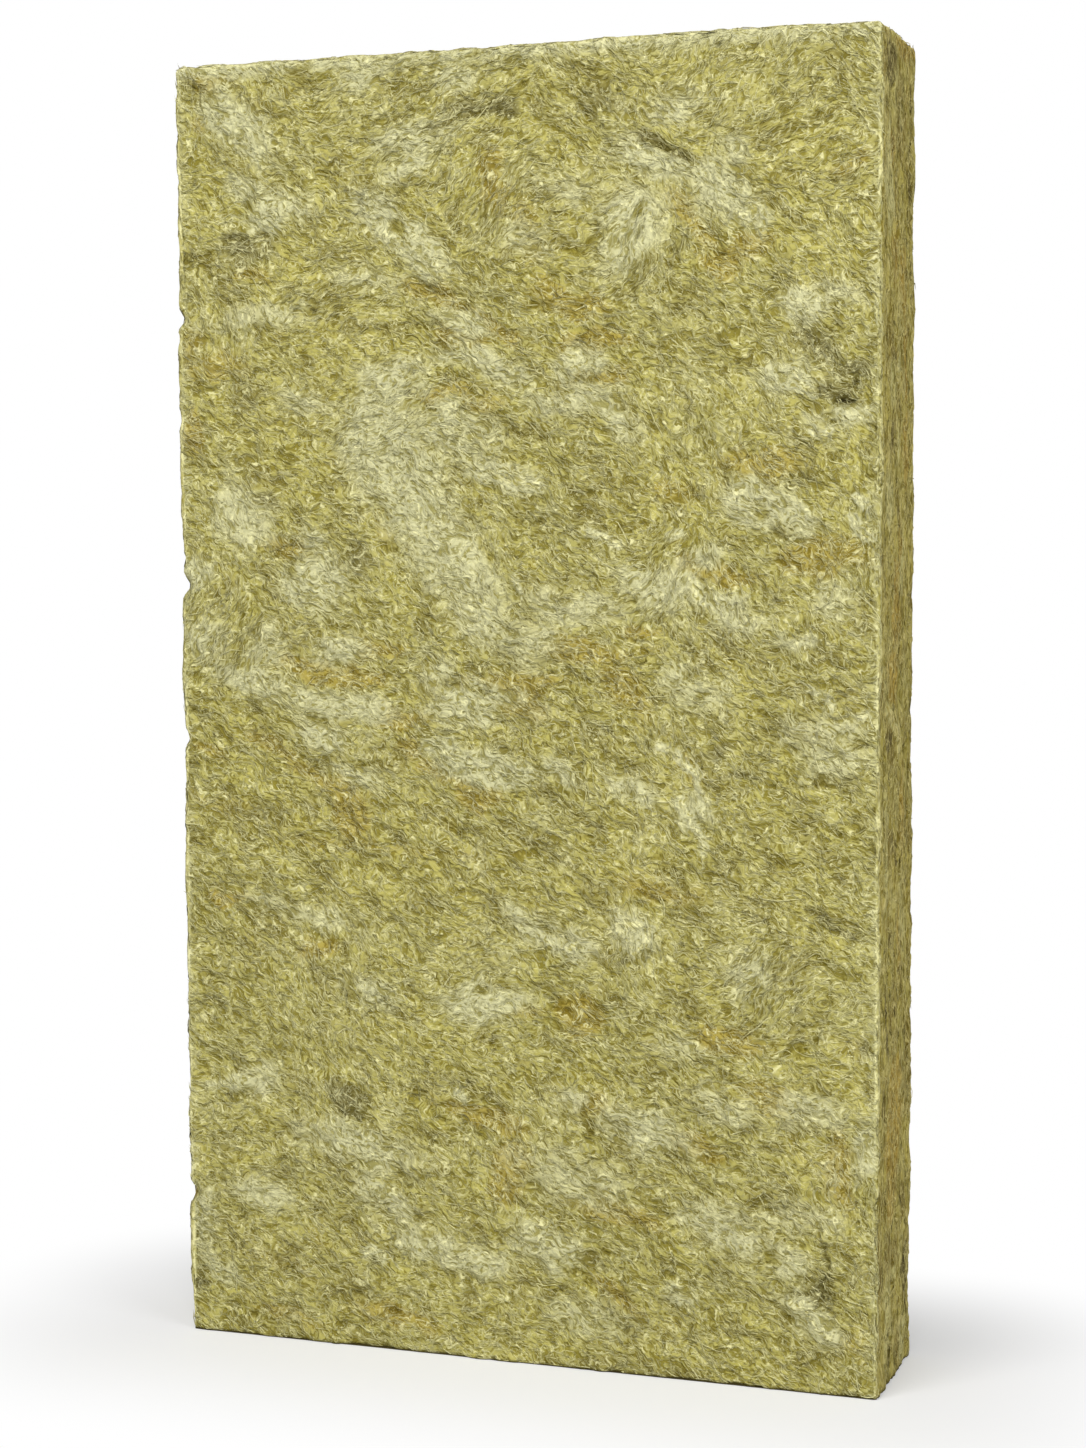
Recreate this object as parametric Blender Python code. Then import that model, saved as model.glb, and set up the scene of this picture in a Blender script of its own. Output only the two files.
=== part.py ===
"""A rigid slab of stone wool for sound insulation, standing on one short cut end.

Units are metres, with +Z up. X runs along the width, Y through the thickness and Z up the
height, and the photographed face looks along -Y. The origin is the middle of the base.

The block is sawn into cells, and then each point of its skin sinks a little inwards:
the two felted faces by soft lumps and creases, the four cut edges by the steps and grooves
between the layers that the slab is pressed from. The proudest point of every side stays on
the plain block, and the base stays flat. Small torn pits are cut out last.
"""

import math

import bmesh
import bpy
from mathutils import Matrix, Vector, noise

# The block.
WIDTH = 0.560
THICKNESS = 0.120
HEIGHT = 1.000

# The felted faces.
FACE_CELL = 0.0215
LUMP_LENGTH = 0.075
LUMP_DEPTH = 0.0032
LUMP_SMOOTHNESS = 0.9
LUMP_FINER = 2.1
LUMP_OCTAVES = 3
CREASE_LENGTH = 0.170
CREASE_DEPTH = 0.0022
CREASE_SHARPNESS = 10.0
GRAIN_SLANT = math.radians(-32.0)
GRAIN_STRETCH = 1.7

# The cut edges, where the layers show.
EDGE_CELL = 0.0225
LAYER_THICKNESS = 0.017
LAYER_STEP = 0.0024
STEP_LENGTH = 0.055
GROOVE_WIDTH = 0.0042
GROOVE_DEPTH = 0.0022
GROOVE_LENGTH = 0.090
LAYER_WANDER = 0.0022
WANDER_LENGTH = 0.120
WANDER_POWER = 6

# Where each unevenness starts in the noise, so that no two are alike.
FACE_SEED = 4.0
CREASE_SEED = Vector((3.7, 9.2, 1.4))
LAYER_SEED = 7.3
GROOVE_SEED = 11.0
GROOVE_SEED_STEP = 5.1
WANDER_SEED = Vector((5.5, 0.5, 2.5))

# The rounding along the arrises, and the crushed foot of the left front arris.
ARRIS_RADIUS = 0.0040
CRUSH_HEIGHT = 0.050
CRUSH_DEPTH = 0.0024

# Pits torn out of the skin: the side they open on, how far right of the middle or behind
# the front face, how far up, and their width, height and depth.
LEFT_NICKS = (
    # behind the front face, up, width, height, depth
    (0.000, 0.807, 0.014, 0.013, 0.0046),
    (0.000, 0.598, 0.018, 0.015, 0.0058),
    (0.000, 0.477, 0.012, 0.012, 0.0040),
    (0.000, 0.112, 0.016, 0.015, 0.0046),
)
RIGHT_HOLES = (
    (0.086, 0.884, 0.009, 0.016, 0.0070),
    (0.094, 0.467, 0.010, 0.018, 0.0075),
    (0.041, 0.287, 0.008, 0.013, 0.0060),
)
FRONT_SLOTS = (
    # right of the middle, up, width, height, depth
    (0.254, 0.732, 0.028, 0.006, 0.0055),
    (0.241, 0.092, 0.008, 0.034, 0.0042),
)
PIT_TURN = math.radians(23.0)

OLIVE = (0.39, 0.35, 0.135, 1.0)
ROUGHNESS = 0.95
SHARP_ANGLE = math.radians(50.0)
SAME_PLACE = 1e-6


def clear_scene():
    for item in list(bpy.data.objects):
        bpy.data.objects.remove(item, do_unlink=True)


def new_collection(name):
    collection = bpy.data.collections.new(name)
    bpy.context.scene.collection.children.link(collection)
    return collection


def add_object(name, mesh, collection):
    item = bpy.data.objects.new(name, mesh)
    collection.objects.link(item)
    return item


def wool_material():
    material = bpy.data.materials.new("stone_wool")
    material.use_nodes = True
    shader = material.node_tree.nodes["Principled BSDF"]
    shader.inputs["Base Color"].default_value = OLIVE
    shader.inputs["Roughness"].default_value = ROUGHNESS
    shader.inputs["Metallic"].default_value = 0.0
    material.diffuse_color = OLIVE
    return material


def even_lines(low, high, spacing):
    """Positions from low to high, both included, as near as can be to the spacing."""
    count = max(1, round((high - low) / spacing))
    return [low + (high - low) * i / count for i in range(count + 1)]


def layer_joints():
    """Where one pressed layer ends and the next begins, through the thickness."""
    return even_lines(-THICKNESS / 2, THICKNESS / 2, LAYER_THICKNESS)[1:-1]


def face_lines(half, spacing):
    """Saw lines across a face that keep a narrow strip along both arrises."""
    return even_lines(-half + ARRIS_RADIUS, half - ARRIS_RADIUS, spacing)


def thickness_lines():
    """Saw lines through the thickness: both arrises, and three at each layer joint."""
    lines = [-THICKNESS / 2 + ARRIS_RADIUS, THICKNESS / 2 - ARRIS_RADIUS]
    for joint in layer_joints():
        lines += [joint - GROOVE_WIDTH / 2, joint, joint + GROOVE_WIDTH / 2]
    return lines


def height_lines():
    """Saw lines up the height that keep a narrow strip along the base and the top arris."""
    return even_lines(ARRIS_RADIUS, HEIGHT - ARRIS_RADIUS, EDGE_CELL)


def saw(block, axis, position):
    """Cuts a loop of edges round the block, square to one axis."""
    normal = Vector((0.0, 0.0, 0.0))
    normal[axis] = 1.0
    bmesh.ops.bisect_plane(
        block,
        geom=block.verts[:] + block.edges[:] + block.faces[:],
        dist=SAME_PLACE,
        plane_co=normal * position,
        plane_no=normal,
    )


def sawn_block():
    """The plain block, its skin divided into cells and its base left as one flat face."""
    block = bmesh.new()
    bmesh.ops.create_cube(block, size=1.0)
    bmesh.ops.scale(block, vec=(WIDTH, THICKNESS, HEIGHT), verts=block.verts)
    bmesh.ops.translate(block, vec=(0.0, 0.0, HEIGHT / 2), verts=block.verts)
    for axis, lines in (
        (0, face_lines(WIDTH / 2, FACE_CELL)),
        (1, thickness_lines()),
        (2, height_lines()),
    ):
        for position in lines:
            saw(block, axis, position)
    base = [f for f in block.faces if f.normal.z < -0.5]
    bmesh.ops.dissolve_faces(block, faces=base)
    return block


def lumps(place):
    """Soft felt lumps, from 0 where the skin is proud to 1 where it is low."""
    rough = noise.fractal(place / LUMP_LENGTH, LUMP_SMOOTHNESS, LUMP_FINER, LUMP_OCTAVES)
    return 0.5 + 0.5 * rough


def creases(place):
    """Narrow valleys along the zero lines of a slow noise, from 0 to 1 at their bottoms."""
    slow = noise.noise(place / CREASE_LENGTH + CREASE_SEED)
    return math.exp(-CREASE_SHARPNESS * abs(slow))


def face_sink(point):
    """How far a felted face lies below its proudest lump."""
    turned = Matrix.Rotation(GRAIN_SLANT, 3, "Y") @ Vector((point.x, 0.0, point.z))
    seed = math.copysign(FACE_SEED, point.y)
    place = Vector((turned.x / GRAIN_STRETCH, seed, turned.z))
    return LUMP_DEPTH * lumps(place) + CREASE_DEPTH * creases(place)


def layer_position(depth):
    """The number of the layer at this depth, and how near a joint it is, from 0 to 1."""
    joints = layer_joints()
    layer = sum(depth > joint + SAME_PLACE for joint in joints)
    nearest = min((abs(depth - joint) for joint in joints), default=GROOVE_WIDTH)
    return layer, max(0.0, 1.0 - 2.0 * nearest / GROOVE_WIDTH)


def layer_sink(point, layer):
    """How far one layer's cut edge stands back, which changes slowly along the edge."""
    along = Vector((point.x, 0.0, point.z)) / STEP_LENGTH
    return LAYER_STEP * (0.5 + 0.5 * noise.noise(along + Vector((0.0, LAYER_SEED * layer, 0.0))))


def cut_sink(point):
    """How far a cut edge lies below its proudest layer, with the grooves at the joints."""
    layer, joint = layer_position(point.y)
    if joint < 0.5:
        return layer_sink(point, layer)
    between = (layer_sink(point, layer) + layer_sink(point, layer + 1)) / 2
    seed = GROOVE_SEED + GROOVE_SEED_STEP * layer
    along = Vector((point.x, 0.0, point.z)) / GROOVE_LENGTH + Vector((0.0, seed, 0.0))
    return between + GROOVE_DEPTH * (0.5 + 0.5 * noise.noise(along))


def foot_crush(point):
    """The foot of the left front arris leans in over the last stretch above the base."""
    if point.y > -THICKNESS / 4:
        return 0.0
    return CRUSH_DEPTH * max(0.0, 1.0 - point.z / CRUSH_HEIGHT) ** 2


def left_sink(point):
    """How far the left cut edge lies below its proudest layer, with its crushed foot."""
    return cut_sink(point) + foot_crush(point)


def base_sink(point):
    """The base stays flat."""
    return 0.0


def slab_sides():
    """Each side: axis, direction along it, distance from the origin, how its points sink."""
    return {
        "left": (0, -1.0, WIDTH / 2, left_sink),
        "right": (0, 1.0, WIDTH / 2, cut_sink),
        "front": (1, -1.0, THICKNESS / 2, face_sink),
        "back": (1, 1.0, THICKNESS / 2, face_sink),
        "top": (2, 1.0, HEIGHT, cut_sink),
        "base": (2, -1.0, 0.0, base_sink),
    }


def sides_of(point):
    """The sides of the plain block that a point of its skin is on."""
    return [
        name
        for name, (axis, direction, distance, _) in slab_sides().items()
        if abs(point[axis] * direction - distance) < SAME_PLACE
    ]


def arris_sink(met):
    """How much further each side sinks where it meets others, which rounds the arrises."""
    return ARRIS_RADIUS * (1.0 - 1.0 / math.sqrt(len(met)))


def wander(point):
    """How far the joints between the layers stray through the thickness."""
    room = 1.0 - abs(2.0 * point.y / THICKNESS) ** WANDER_POWER
    return LAYER_WANDER * room * noise.noise(point / WANDER_LENGTH + WANDER_SEED)


def felt_skin(block):
    """Sinks every point of the skin, with the proudest point of each side left in place."""
    plain = {v: v.co.copy() for v in block.verts}
    met = {v: sides_of(co) for v, co in plain.items()}
    for name, (axis, direction, _, sink) in slab_sides().items():
        if name == "base":
            continue
        depths = {v: sink(co) + arris_sink(met[v]) for v, co in plain.items() if name in met[v]}
        proudest = min(depths.values())
        for v, depth in depths.items():
            v.co[axis] -= direction * (depth - proudest)
    for v, co in plain.items():
        if "front" not in met[v] and "back" not in met[v]:
            v.co.y += wander(co)


def add_pit(pits, middle, size):
    """An uneven hollow shape with blunt facets, to be cut out of the skin."""
    shape = bmesh.ops.create_icosphere(pits, subdivisions=1, radius=0.5)
    bmesh.ops.rotate(pits, verts=shape["verts"], matrix=Matrix.Rotation(PIT_TURN, 3, "X"))
    bmesh.ops.scale(pits, vec=size, verts=shape["verts"])
    bmesh.ops.translate(pits, vec=middle, verts=shape["verts"])


def pit_cutter(collection):
    """All the torn pits, as one cutting object."""
    pits = bmesh.new()
    front = -THICKNESS / 2
    for behind, up, width, height, depth in LEFT_NICKS:
        add_pit(pits, (-WIDTH / 2, front + behind, up), (2.0 * depth, width, height))
    for behind, up, width, height, depth in RIGHT_HOLES:
        add_pit(pits, (WIDTH / 2, front + behind, up), (2.0 * depth, width, height))
    for right, up, width, height, depth in FRONT_SLOTS:
        add_pit(pits, (right, front, up), (width, 2.0 * depth, height))
    mesh = bpy.data.meshes.new("torn_pits")
    pits.to_mesh(mesh)
    pits.free()
    cutter = add_object("torn_pits", mesh, collection)
    cutter.display_type = "WIRE"
    cutter.hide_render = True
    return cutter


def make_slab(collection, cutter):
    block = sawn_block()
    felt_skin(block)
    mesh = bpy.data.meshes.new("slab")
    block.to_mesh(mesh)
    block.free()
    mesh.materials.append(wool_material())
    mesh.shade_smooth()
    mesh.set_sharp_from_angle(angle=SHARP_ANGLE)
    slab = add_object("slab", mesh, collection)
    tear = slab.modifiers.new("torn_pits", "BOOLEAN")
    tear.operation = "DIFFERENCE"
    tear.solver = "EXACT"
    tear.object = cutter
    return slab


def main():
    clear_scene()
    parts = new_collection("acoustic_insulation_slab")
    cutters = new_collection("cutters")
    make_slab(parts, pit_cutter(cutters))


main()
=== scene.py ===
"""Looks of a rigid stone wool slab that stands on one short cut end.

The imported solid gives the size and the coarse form, which is read off it with rays. The slab is
then remade as three closed pieces that meet at joints between its pressed layers, with finer
felt relief on the faces and streaked cut edges. Thin closed fibres of wool are laid on them.
"""

import math

import bpy
import numpy as np
from mathutils import Matrix, Vector


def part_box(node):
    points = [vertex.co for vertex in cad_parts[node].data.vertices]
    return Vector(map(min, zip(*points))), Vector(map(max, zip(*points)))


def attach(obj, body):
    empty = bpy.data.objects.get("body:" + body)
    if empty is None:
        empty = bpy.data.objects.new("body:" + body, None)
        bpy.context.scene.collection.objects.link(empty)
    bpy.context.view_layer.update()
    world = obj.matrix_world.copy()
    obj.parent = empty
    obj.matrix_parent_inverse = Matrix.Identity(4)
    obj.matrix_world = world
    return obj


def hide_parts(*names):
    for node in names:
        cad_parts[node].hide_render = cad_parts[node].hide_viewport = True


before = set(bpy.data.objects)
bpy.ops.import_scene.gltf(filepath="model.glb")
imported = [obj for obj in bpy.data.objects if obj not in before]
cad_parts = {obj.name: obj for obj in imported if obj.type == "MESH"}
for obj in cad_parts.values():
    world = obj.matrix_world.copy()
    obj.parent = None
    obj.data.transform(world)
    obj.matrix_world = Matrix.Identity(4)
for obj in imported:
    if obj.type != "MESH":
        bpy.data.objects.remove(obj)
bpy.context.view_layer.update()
slab_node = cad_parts["slab"]
LOW, HIGH = (np.array(corner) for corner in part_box("slab"))
MILLIMETRE = 0.001

# Small amounts that keep an angle or a division from failing.
FAINT = 1e-6
TINY = 1e-12

# The pressed layers that the pieces meet between, and the spacing of each piece's skin.
LAYER = 0.0171
FRONT_SPACING = 0.00258
BACK_SPACING = 0.0034
MIDDLE_SPACING = 0.0040
THROUGH_SPACING = 0.0024
ARRIS_RADIUS = 0.0028
BASE_RADIUS = 0.0006
ARRIS_LINE = 0.35

# The raster that relief and colour are drawn on, and the lattice of rays that reads the form.
RASTER_STEP = 0.00125
RAY_STEP = 0.009
RAY_STEP_THROUGH = 0.0024
RAY_INSET = 0.004
RAY_START = 0.05

# Sides of the slab: the axis it faces along, the way it faces, and the two axes across it.
SIDES = {
    "front": (1, -1, 0, 2),
    "back": (1, 1, 0, 2),
    "left": (0, -1, 1, 2),
    "right": (0, 1, 1, 2),
    "top": (2, 1, 0, 1),
}
FELTED = ("front", "back")
COLOUR_KEYS = ("pale", "ochre", "grey", "tuft", "low", "flow_cosine", "flow_sine")

# Overlapping tufts of the felted faces and of the cut edges:
# half length, half width, rise, and how many times they cover the side.
FELT_TUFTS = (
    (0.0200, 0.0085, 0.0022, 2.0),
    (0.0100, 0.0042, 0.0019, 2.4),
    (0.0055, 0.0026, 0.0010, 2.4),
)
CUT_TUFTS = (
    (0.0200, 0.0052, 0.0014, 2.0),
    (0.0095, 0.0027, 0.0010, 2.4),
)
FELT_SPREAD = math.radians(14.0)
CUT_SPREAD = math.radians(11.0)
TUFT_BEND = 0.25
TUFT_LEVEL = 0.53
# How far below the tufts' level the skin lies where it takes the full painted crease shade.
LOW_DEPTH = 0.0026
PAD_RISE = 0.0012
PATCH_SPREAD = 1.42
PAD_EDGE = (2.0, 0.4)

# Chance blotches of pale, ochre and grey on each side: size, seed, gain and shift.
BLOTCHES = (
    (0.055, 1.1, 1.5, -0.12),
    (0.048, 2.2, 1.5, -0.50),
    (0.070, 3.3, 1.6, -0.80),
)
CHANCE_SHARE = 0.30

# The grain of the felt.
GRAIN_ANGLE = math.radians(-30.0)
GRAIN_SWING = math.radians(50.0)
GRAIN_SWING_LENGTH = 0.085
GUIDE_REACH = 0.036
GUIDE_SWING = 0.35
CUT_SWING = 0.16
CUT_SWING_LENGTH = 0.06

# How the fibres run on the photographed face, given as millimetres right of the middle
# and up from the base, and the slant in degrees.
GRAIN_GUIDES = (
    (-230, 965, -45), (-140, 965, -5), (-75, 945, 18), (-20, 965, 10), (-250, 870, -15),
    (-170, 900, -35), (-95, 870, -36), (-30, 900, 55), (-150, 820, 5), (-255, 800, -55),
    (-60, 810, -30), (-160, 765, -20), (-10, 770, -25), (60, 960, -40), (150, 975, 40),
    (215, 955, 38), (262, 965, -40), (50, 890, -6), (100, 860, 60), (140, 865, -48),
    (178, 880, -40), (240, 905, 25), (245, 850, -50), (110, 925, -32), (40, 810, -18),
    (150, 790, -30), (235, 775, -42), (-255, 720, -20), (-110, 725, 30), (-90, 680, -42),
    (-60, 640, -46), (-40, 600, -52), (-175, 690, -18), (-230, 650, -50), (-170, 600, -20),
    (-262, 560, 60), (-150, 515, -12), (-60, 560, -30), (0, 700, -30), (50, 705, -18),
    (95, 705, -45), (150, 690, -62), (190, 655, -22), (215, 620, -18), (50, 650, -30),
    (60, 605, -20), (120, 600, 50), (50, 575, -6), (142, 590, -68), (235, 585, -60),
    (60, 520, -22), (150, 540, -30), (240, 530, -26), (262, 640, -62), (-250, 480, -25),
    (-190, 462, -38), (-150, 400, -30), (-60, 430, -36), (-200, 345, -24), (-120, 330, -50),
    (-168, 280, -58), (-60, 300, -10), (-22, 280, 2), (-225, 280, -25), (30, 460, -34),
    (132, 455, -50), (205, 440, -30), (252, 430, -35), (30, 340, -30), (98, 330, -60),
    (150, 340, -20), (240, 345, -20), (60, 280, -20), (200, 300, 60), (150, 250, -20),
    (245, 250, -14), (-240, 220, -20), (-145, 200, -60), (-95, 195, -35), (-45, 200, -22),
    (-205, 150, -10), (-125, 140, -30), (-60, 140, -42), (-240, 60, -26), (-150, 80, -20),
    (-50, 80, -10), (-100, 20, -15), (0, 150, -55), (50, 200, -42), (100, 180, -24),
    (180, 200, -20), (240, 200, -18), (50, 130, -20), (150, 120, -25), (220, 120, -10),
    (252, 60, -42), (100, 60, -30), (180, 50, -24), (252, 155, -74),
)

# Places chosen on the photographed face, in millimetres from the middle of the base:
# right, up, half length, half width, slant in degrees, strength.
PALE_PADS = (
    (-226, 952, 32, 14, -42, 0.9), (-203, 885, 14, 13, 0, 1.0), (-190, 893, 24, 10, -20, 0.7),
    (-219, 905, 14, 9, -20, 0.7), (-112, 887, 20, 9, -35, 0.9), (-96, 868, 28, 11, -36, 1.0),
    (-76, 851, 22, 12, -36, 1.0), (-78, 938, 32, 12, 14, 0.7), (-84, 915, 22, 7, 24, 0.8),
    (-44, 979, 16, 10, 0, 0.7), (-118, 988, 30, 8, 18, 0.7), (-41, 797, 18, 9, -22, 0.9),
    (-22, 766, 20, 8, -25, 0.8), (-46, 774, 16, 9, 0, 0.6), (-120, 830, 22, 8, -5, 0.6),
    (-215, 806, 44, 9, 4, 0.6), (-104, 750, 24, 16, 28, 0.9), (-5, 756, 18, 9, -10, 0.7),
    (124, 948, 18, 11, 0, 0.7), (109, 911, 28, 9, -16, 0.9), (92, 862, 28, 22, 72, 0.8),
    (160, 886, 22, 15, -40, 0.8), (180, 871, 16, 8, -30, 1.0), (49, 763, 18, 10, 15, 1.0),
    (225, 800, 15, 10, -10, 1.0), (246, 809, 20, 8, 0, 0.7), (207, 750, 18, 11, 0, 0.8),
    (10, 857, 20, 12, -10, 0.6), (45, 892, 30, 8, -4, 0.6), (173, 912, 12, 11, 0, 0.6),
    (-108, 705, 40, 26, -82, 0.9), (-112, 722, 18, 8, -30, 1.0), (-85, 672, 32, 26, -50, 0.9),
    (-58, 625, 48, 24, -52, 0.8), (-48, 716, 34, 18, -10, 0.7), (-30, 580, 34, 20, -48, 0.7),
    (-14, 682, 26, 8, -16, 1.0), (-172, 738, 20, 8, -10, 0.7), (-230, 652, 25, 17, -40, 0.8),
    (-167, 602, 23, 18, 0, 1.0), (-165, 631, 12, 10, 0, 0.8), (-268, 607, 10, 10, 0, 1.0),
    (-261, 552, 17, 15, 0, 0.7), (-146, 548, 19, 10, 0, 0.8), (-207, 552, 17, 14, 0, 0.6),
    (-147, 504, 36, 10, -5, 0.9), (-222, 523, 32, 9, -15, 0.8), (-66, 530, 13, 16, 60, 0.6),
    (-38, 509, 30, 14, 8, 0.9), (48, 737, 28, 11, 0, 0.8), (86, 722, 18, 10, -40, 0.7),
    (192, 659, 24, 14, -20, 1.0), (217, 647, 18, 10, -28, 0.8), (100, 602, 12, 7, 0, 0.8),
    (120, 597, 28, 15, 0, 0.8), (154, 621, 12, 8, 0, 0.7), (163, 585, 10, 7, 0, 1.0),
    (174, 573, 18, 9, 0, 0.7), (45, 582, 34, 12, -5, 0.7), (222, 556, 16, 6, 0, 0.7),
    (246, 587, 15, 14, -60, 0.6), (8, 555, 22, 15, 0, 0.7), (141, 520, 26, 16, -20, 0.6),
    (240, 492, 28, 10, 0, 0.7), (252, 723, 20, 7, 0, 0.9), (-164, 481, 18, 8, -10, 0.8),
    (-136, 452, 24, 8, -10, 0.7), (-58, 475, 13, 8, 0, 1.0), (-24, 460, 32, 10, -10, 0.9),
    (-180, 342, 44, 9, -8, 0.6), (-121, 282, 21, 10, -20, 0.9), (-25, 279, 27, 12, 5, 1.0),
    (93, 447, 17, 8, -15, 0.8), (142, 431, 13, 12, 0, 0.7), (38, 458, 16, 6, -40, 0.7),
    (244, 472, 22, 15, 0, 0.7), (4, 343, 20, 9, -30, 0.7), (26, 333, 26, 10, -24, 0.8),
    (47, 325, 18, 10, 0, 0.8), (94, 340, 16, 12, -50, 1.0), (180, 312, 15, 12, 0, 0.7),
    (130, 252, 22, 9, -10, 0.5), (-231, 201, 30, 6, 0, 0.8), (-213, 213, 16, 9, 0, 0.6),
    (-134, 160, 42, 15, -10, 0.8), (-108, 119, 26, 9, -30, 0.9), (-219, 114, 24, 9, -5, 0.8),
    (-271, 92, 12, 24, 0, 0.8), (-74, 85, 20, 9, -6, 1.0), (-36, 77, 32, 9, -10, 0.8),
    (-256, 52, 20, 8, -20, 0.7), (44, 209, 11, 8, 0, 0.8), (101, 187, 26, 14, -15, 0.9),
    (165, 208, 24, 12, -15, 0.6), (229, 213, 24, 13, -5, 0.7), (43, 147, 42, 18, -12, 0.6),
    (25, 92, 24, 12, -18, 0.9), (168, 117, 36, 16, -20, 0.7), (222, 132, 24, 11, -10, 0.6),
    (273, 183, 8, 20, 0, 0.8), (225, 65, 14, 9, -30, 1.0), (240, 48, 12, 9, -50, 1.0),
    (212, 100, 15, 8, -20, 0.8), (130, 64, 10, 6, 0, 0.8), (60, 42, 44, 14, -10, 0.5),
)
OCHRE_STAINS = (
    (-256, 990, 14, 7, 0, 0.8), (-255, 956, 8, 8, 0, 0.6), (-216, 840, 12, 6, 0, 0.6),
    (-49, 812, 16, 6, -40, 0.7), (-42, 785, 18, 6, -10, 0.9), (-240, 770, 16, 12, 0, 0.5),
    (-270, 780, 8, 26, 0, 0.5), (12, 862, 10, 22, 10, 0.5), (-18, 905, 10, 22, 10, 0.6),
    (140, 868, 22, 7, -48, 0.7), (163, 832, 12, 9, 0, 0.9), (186, 845, 16, 7, 10, 0.6),
    (45, 808, 26, 10, -15, 0.7), (66, 780, 24, 6, 8, 0.9), (62, 751, 24, 5, 10, 0.8),
    (257, 898, 14, 5, 26, 0.6), (-270, 718, 9, 14, 0, 0.8), (-58, 745, 18, 6, 0, 0.7),
    (-28, 739, 14, 5, 0, 0.6), (-186, 630, 20, 7, 10, 0.7), (-105, 640, 16, 6, -40, 0.4),
    (-155, 531, 36, 7, -8, 0.9), (-121, 549, 20, 7, 0, 0.6), (-12, 518, 26, 9, -5, 0.9),
    (-100, 497, 22, 7, -10, 0.7), (196, 687, 26, 9, 0, 0.7), (126, 668, 20, 8, 0, 0.5),
    (161, 608, 22, 6, -15, 0.8), (240, 621, 26, 12, 0, 0.7), (101, 563, 10, 4, 0, 0.8),
    (50, 550, 32, 8, -4, 0.7), (86, 521, 22, 10, -50, 0.6), (10, 529, 24, 8, -5, 0.6),
    (-138, 422, 24, 10, -75, 0.8), (-31, 442, 14, 11, -40, 1.0), (-83, 473, 9, 8, 0, 0.7),
    (-262, 470, 14, 5, -20, 0.6), (-245, 350, 15, 4, -2, 1.0), (-166, 312, 12, 7, 0, 0.7),
    (136, 462, 12, 6, -40, 0.6), (116, 372, 34, 8, -6, 0.5), (50, 272, 16, 12, -20, 0.8),
    (168, 259, 24, 9, -8, 0.8), (3, 272, 18, 7, 0, 0.5), (-27, 190, 24, 6, -16, 0.9),
    (-8, 150, 12, 20, -10, 0.8), (-103, 26, 30, 7, -10, 0.7), (-195, 20, 28, 7, -12, 0.5),
    (60, 205, 24, 6, -14, 0.6), (136, 183, 20, 6, -14, 0.8), (205, 217, 26, 9, -16, 0.6),
    (252, 170, 9, 24, 8, 0.8), (78, 124, 28, 8, -8, 0.8), (66, 138, 9, 7, 0, 0.6),
    (83, 60, 22, 7, -42, 0.7), (-118, 396, 60, 5, -2, 0.4), (-245, 424, 34, 6, -12, 0.4),
    (262, 40, 14, 14, 0, 0.4), (30, 560, 20, 6, 0, 0.4), (-200, 60, 40, 7, -20, 0.4),
)
GREY_STAINS = (
    (-222, 862, 26, 12, -8, 1.0), (-232, 852, 26, 9, -5, 0.5), (-36, 958, 24, 9, 8, 0.9),
    (-10, 955, 16, 9, 10, 0.9), (-62, 944, 16, 5, 14, 0.6), (70, 957, 32, 10, -6, 0.7),
    (112, 923, 20, 6, -18, 1.0), (130, 914, 14, 5, -42, 0.9), (-85, 901, 20, 4, 6, 0.7),
    (-96, 891, 12, 4, -20, 0.7), (232, 772, 22, 16, -30, 0.9), (258, 752, 22, 12, 0, 0.9),
    (205, 778, 18, 10, -20, 0.4), (-205, 663, 18, 11, -20, 0.7), (-132, 620, 20, 13, -70, 0.7),
    (-213, 408, 24, 9, 0, 0.6), (158, 476, 14, 8, 0, 0.8), (172, 455, 18, 5, 12, 0.8),
    (98, 706, 16, 8, -42, 0.5), (265, 565, 8, 14, 0, 0.6), (245, 350, 26, 7, -28, 0.8),
    (221, 283, 14, 4, 0, 0.7), (270, 258, 6, 10, 0, 0.6), (88, 312, 10, 6, 0, 0.8),
    (-144, 197, 26, 15, -32, 1.0), (-152, 206, 12, 11, 0, 0.8), (83, 190, 12, 7, -40, 0.7),
    (236, 78, 14, 9, -60, 0.8), (-50, 130, 22, 10, -30, 0.4), (-275, 37, 10, 5, -10, 0.9),
    (-200, 480, 24, 5, -20, 0.4), (20, 958, 20, 8, 0, 0.4), (246, 740, 24, 5, 0, 0.9),
)
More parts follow.
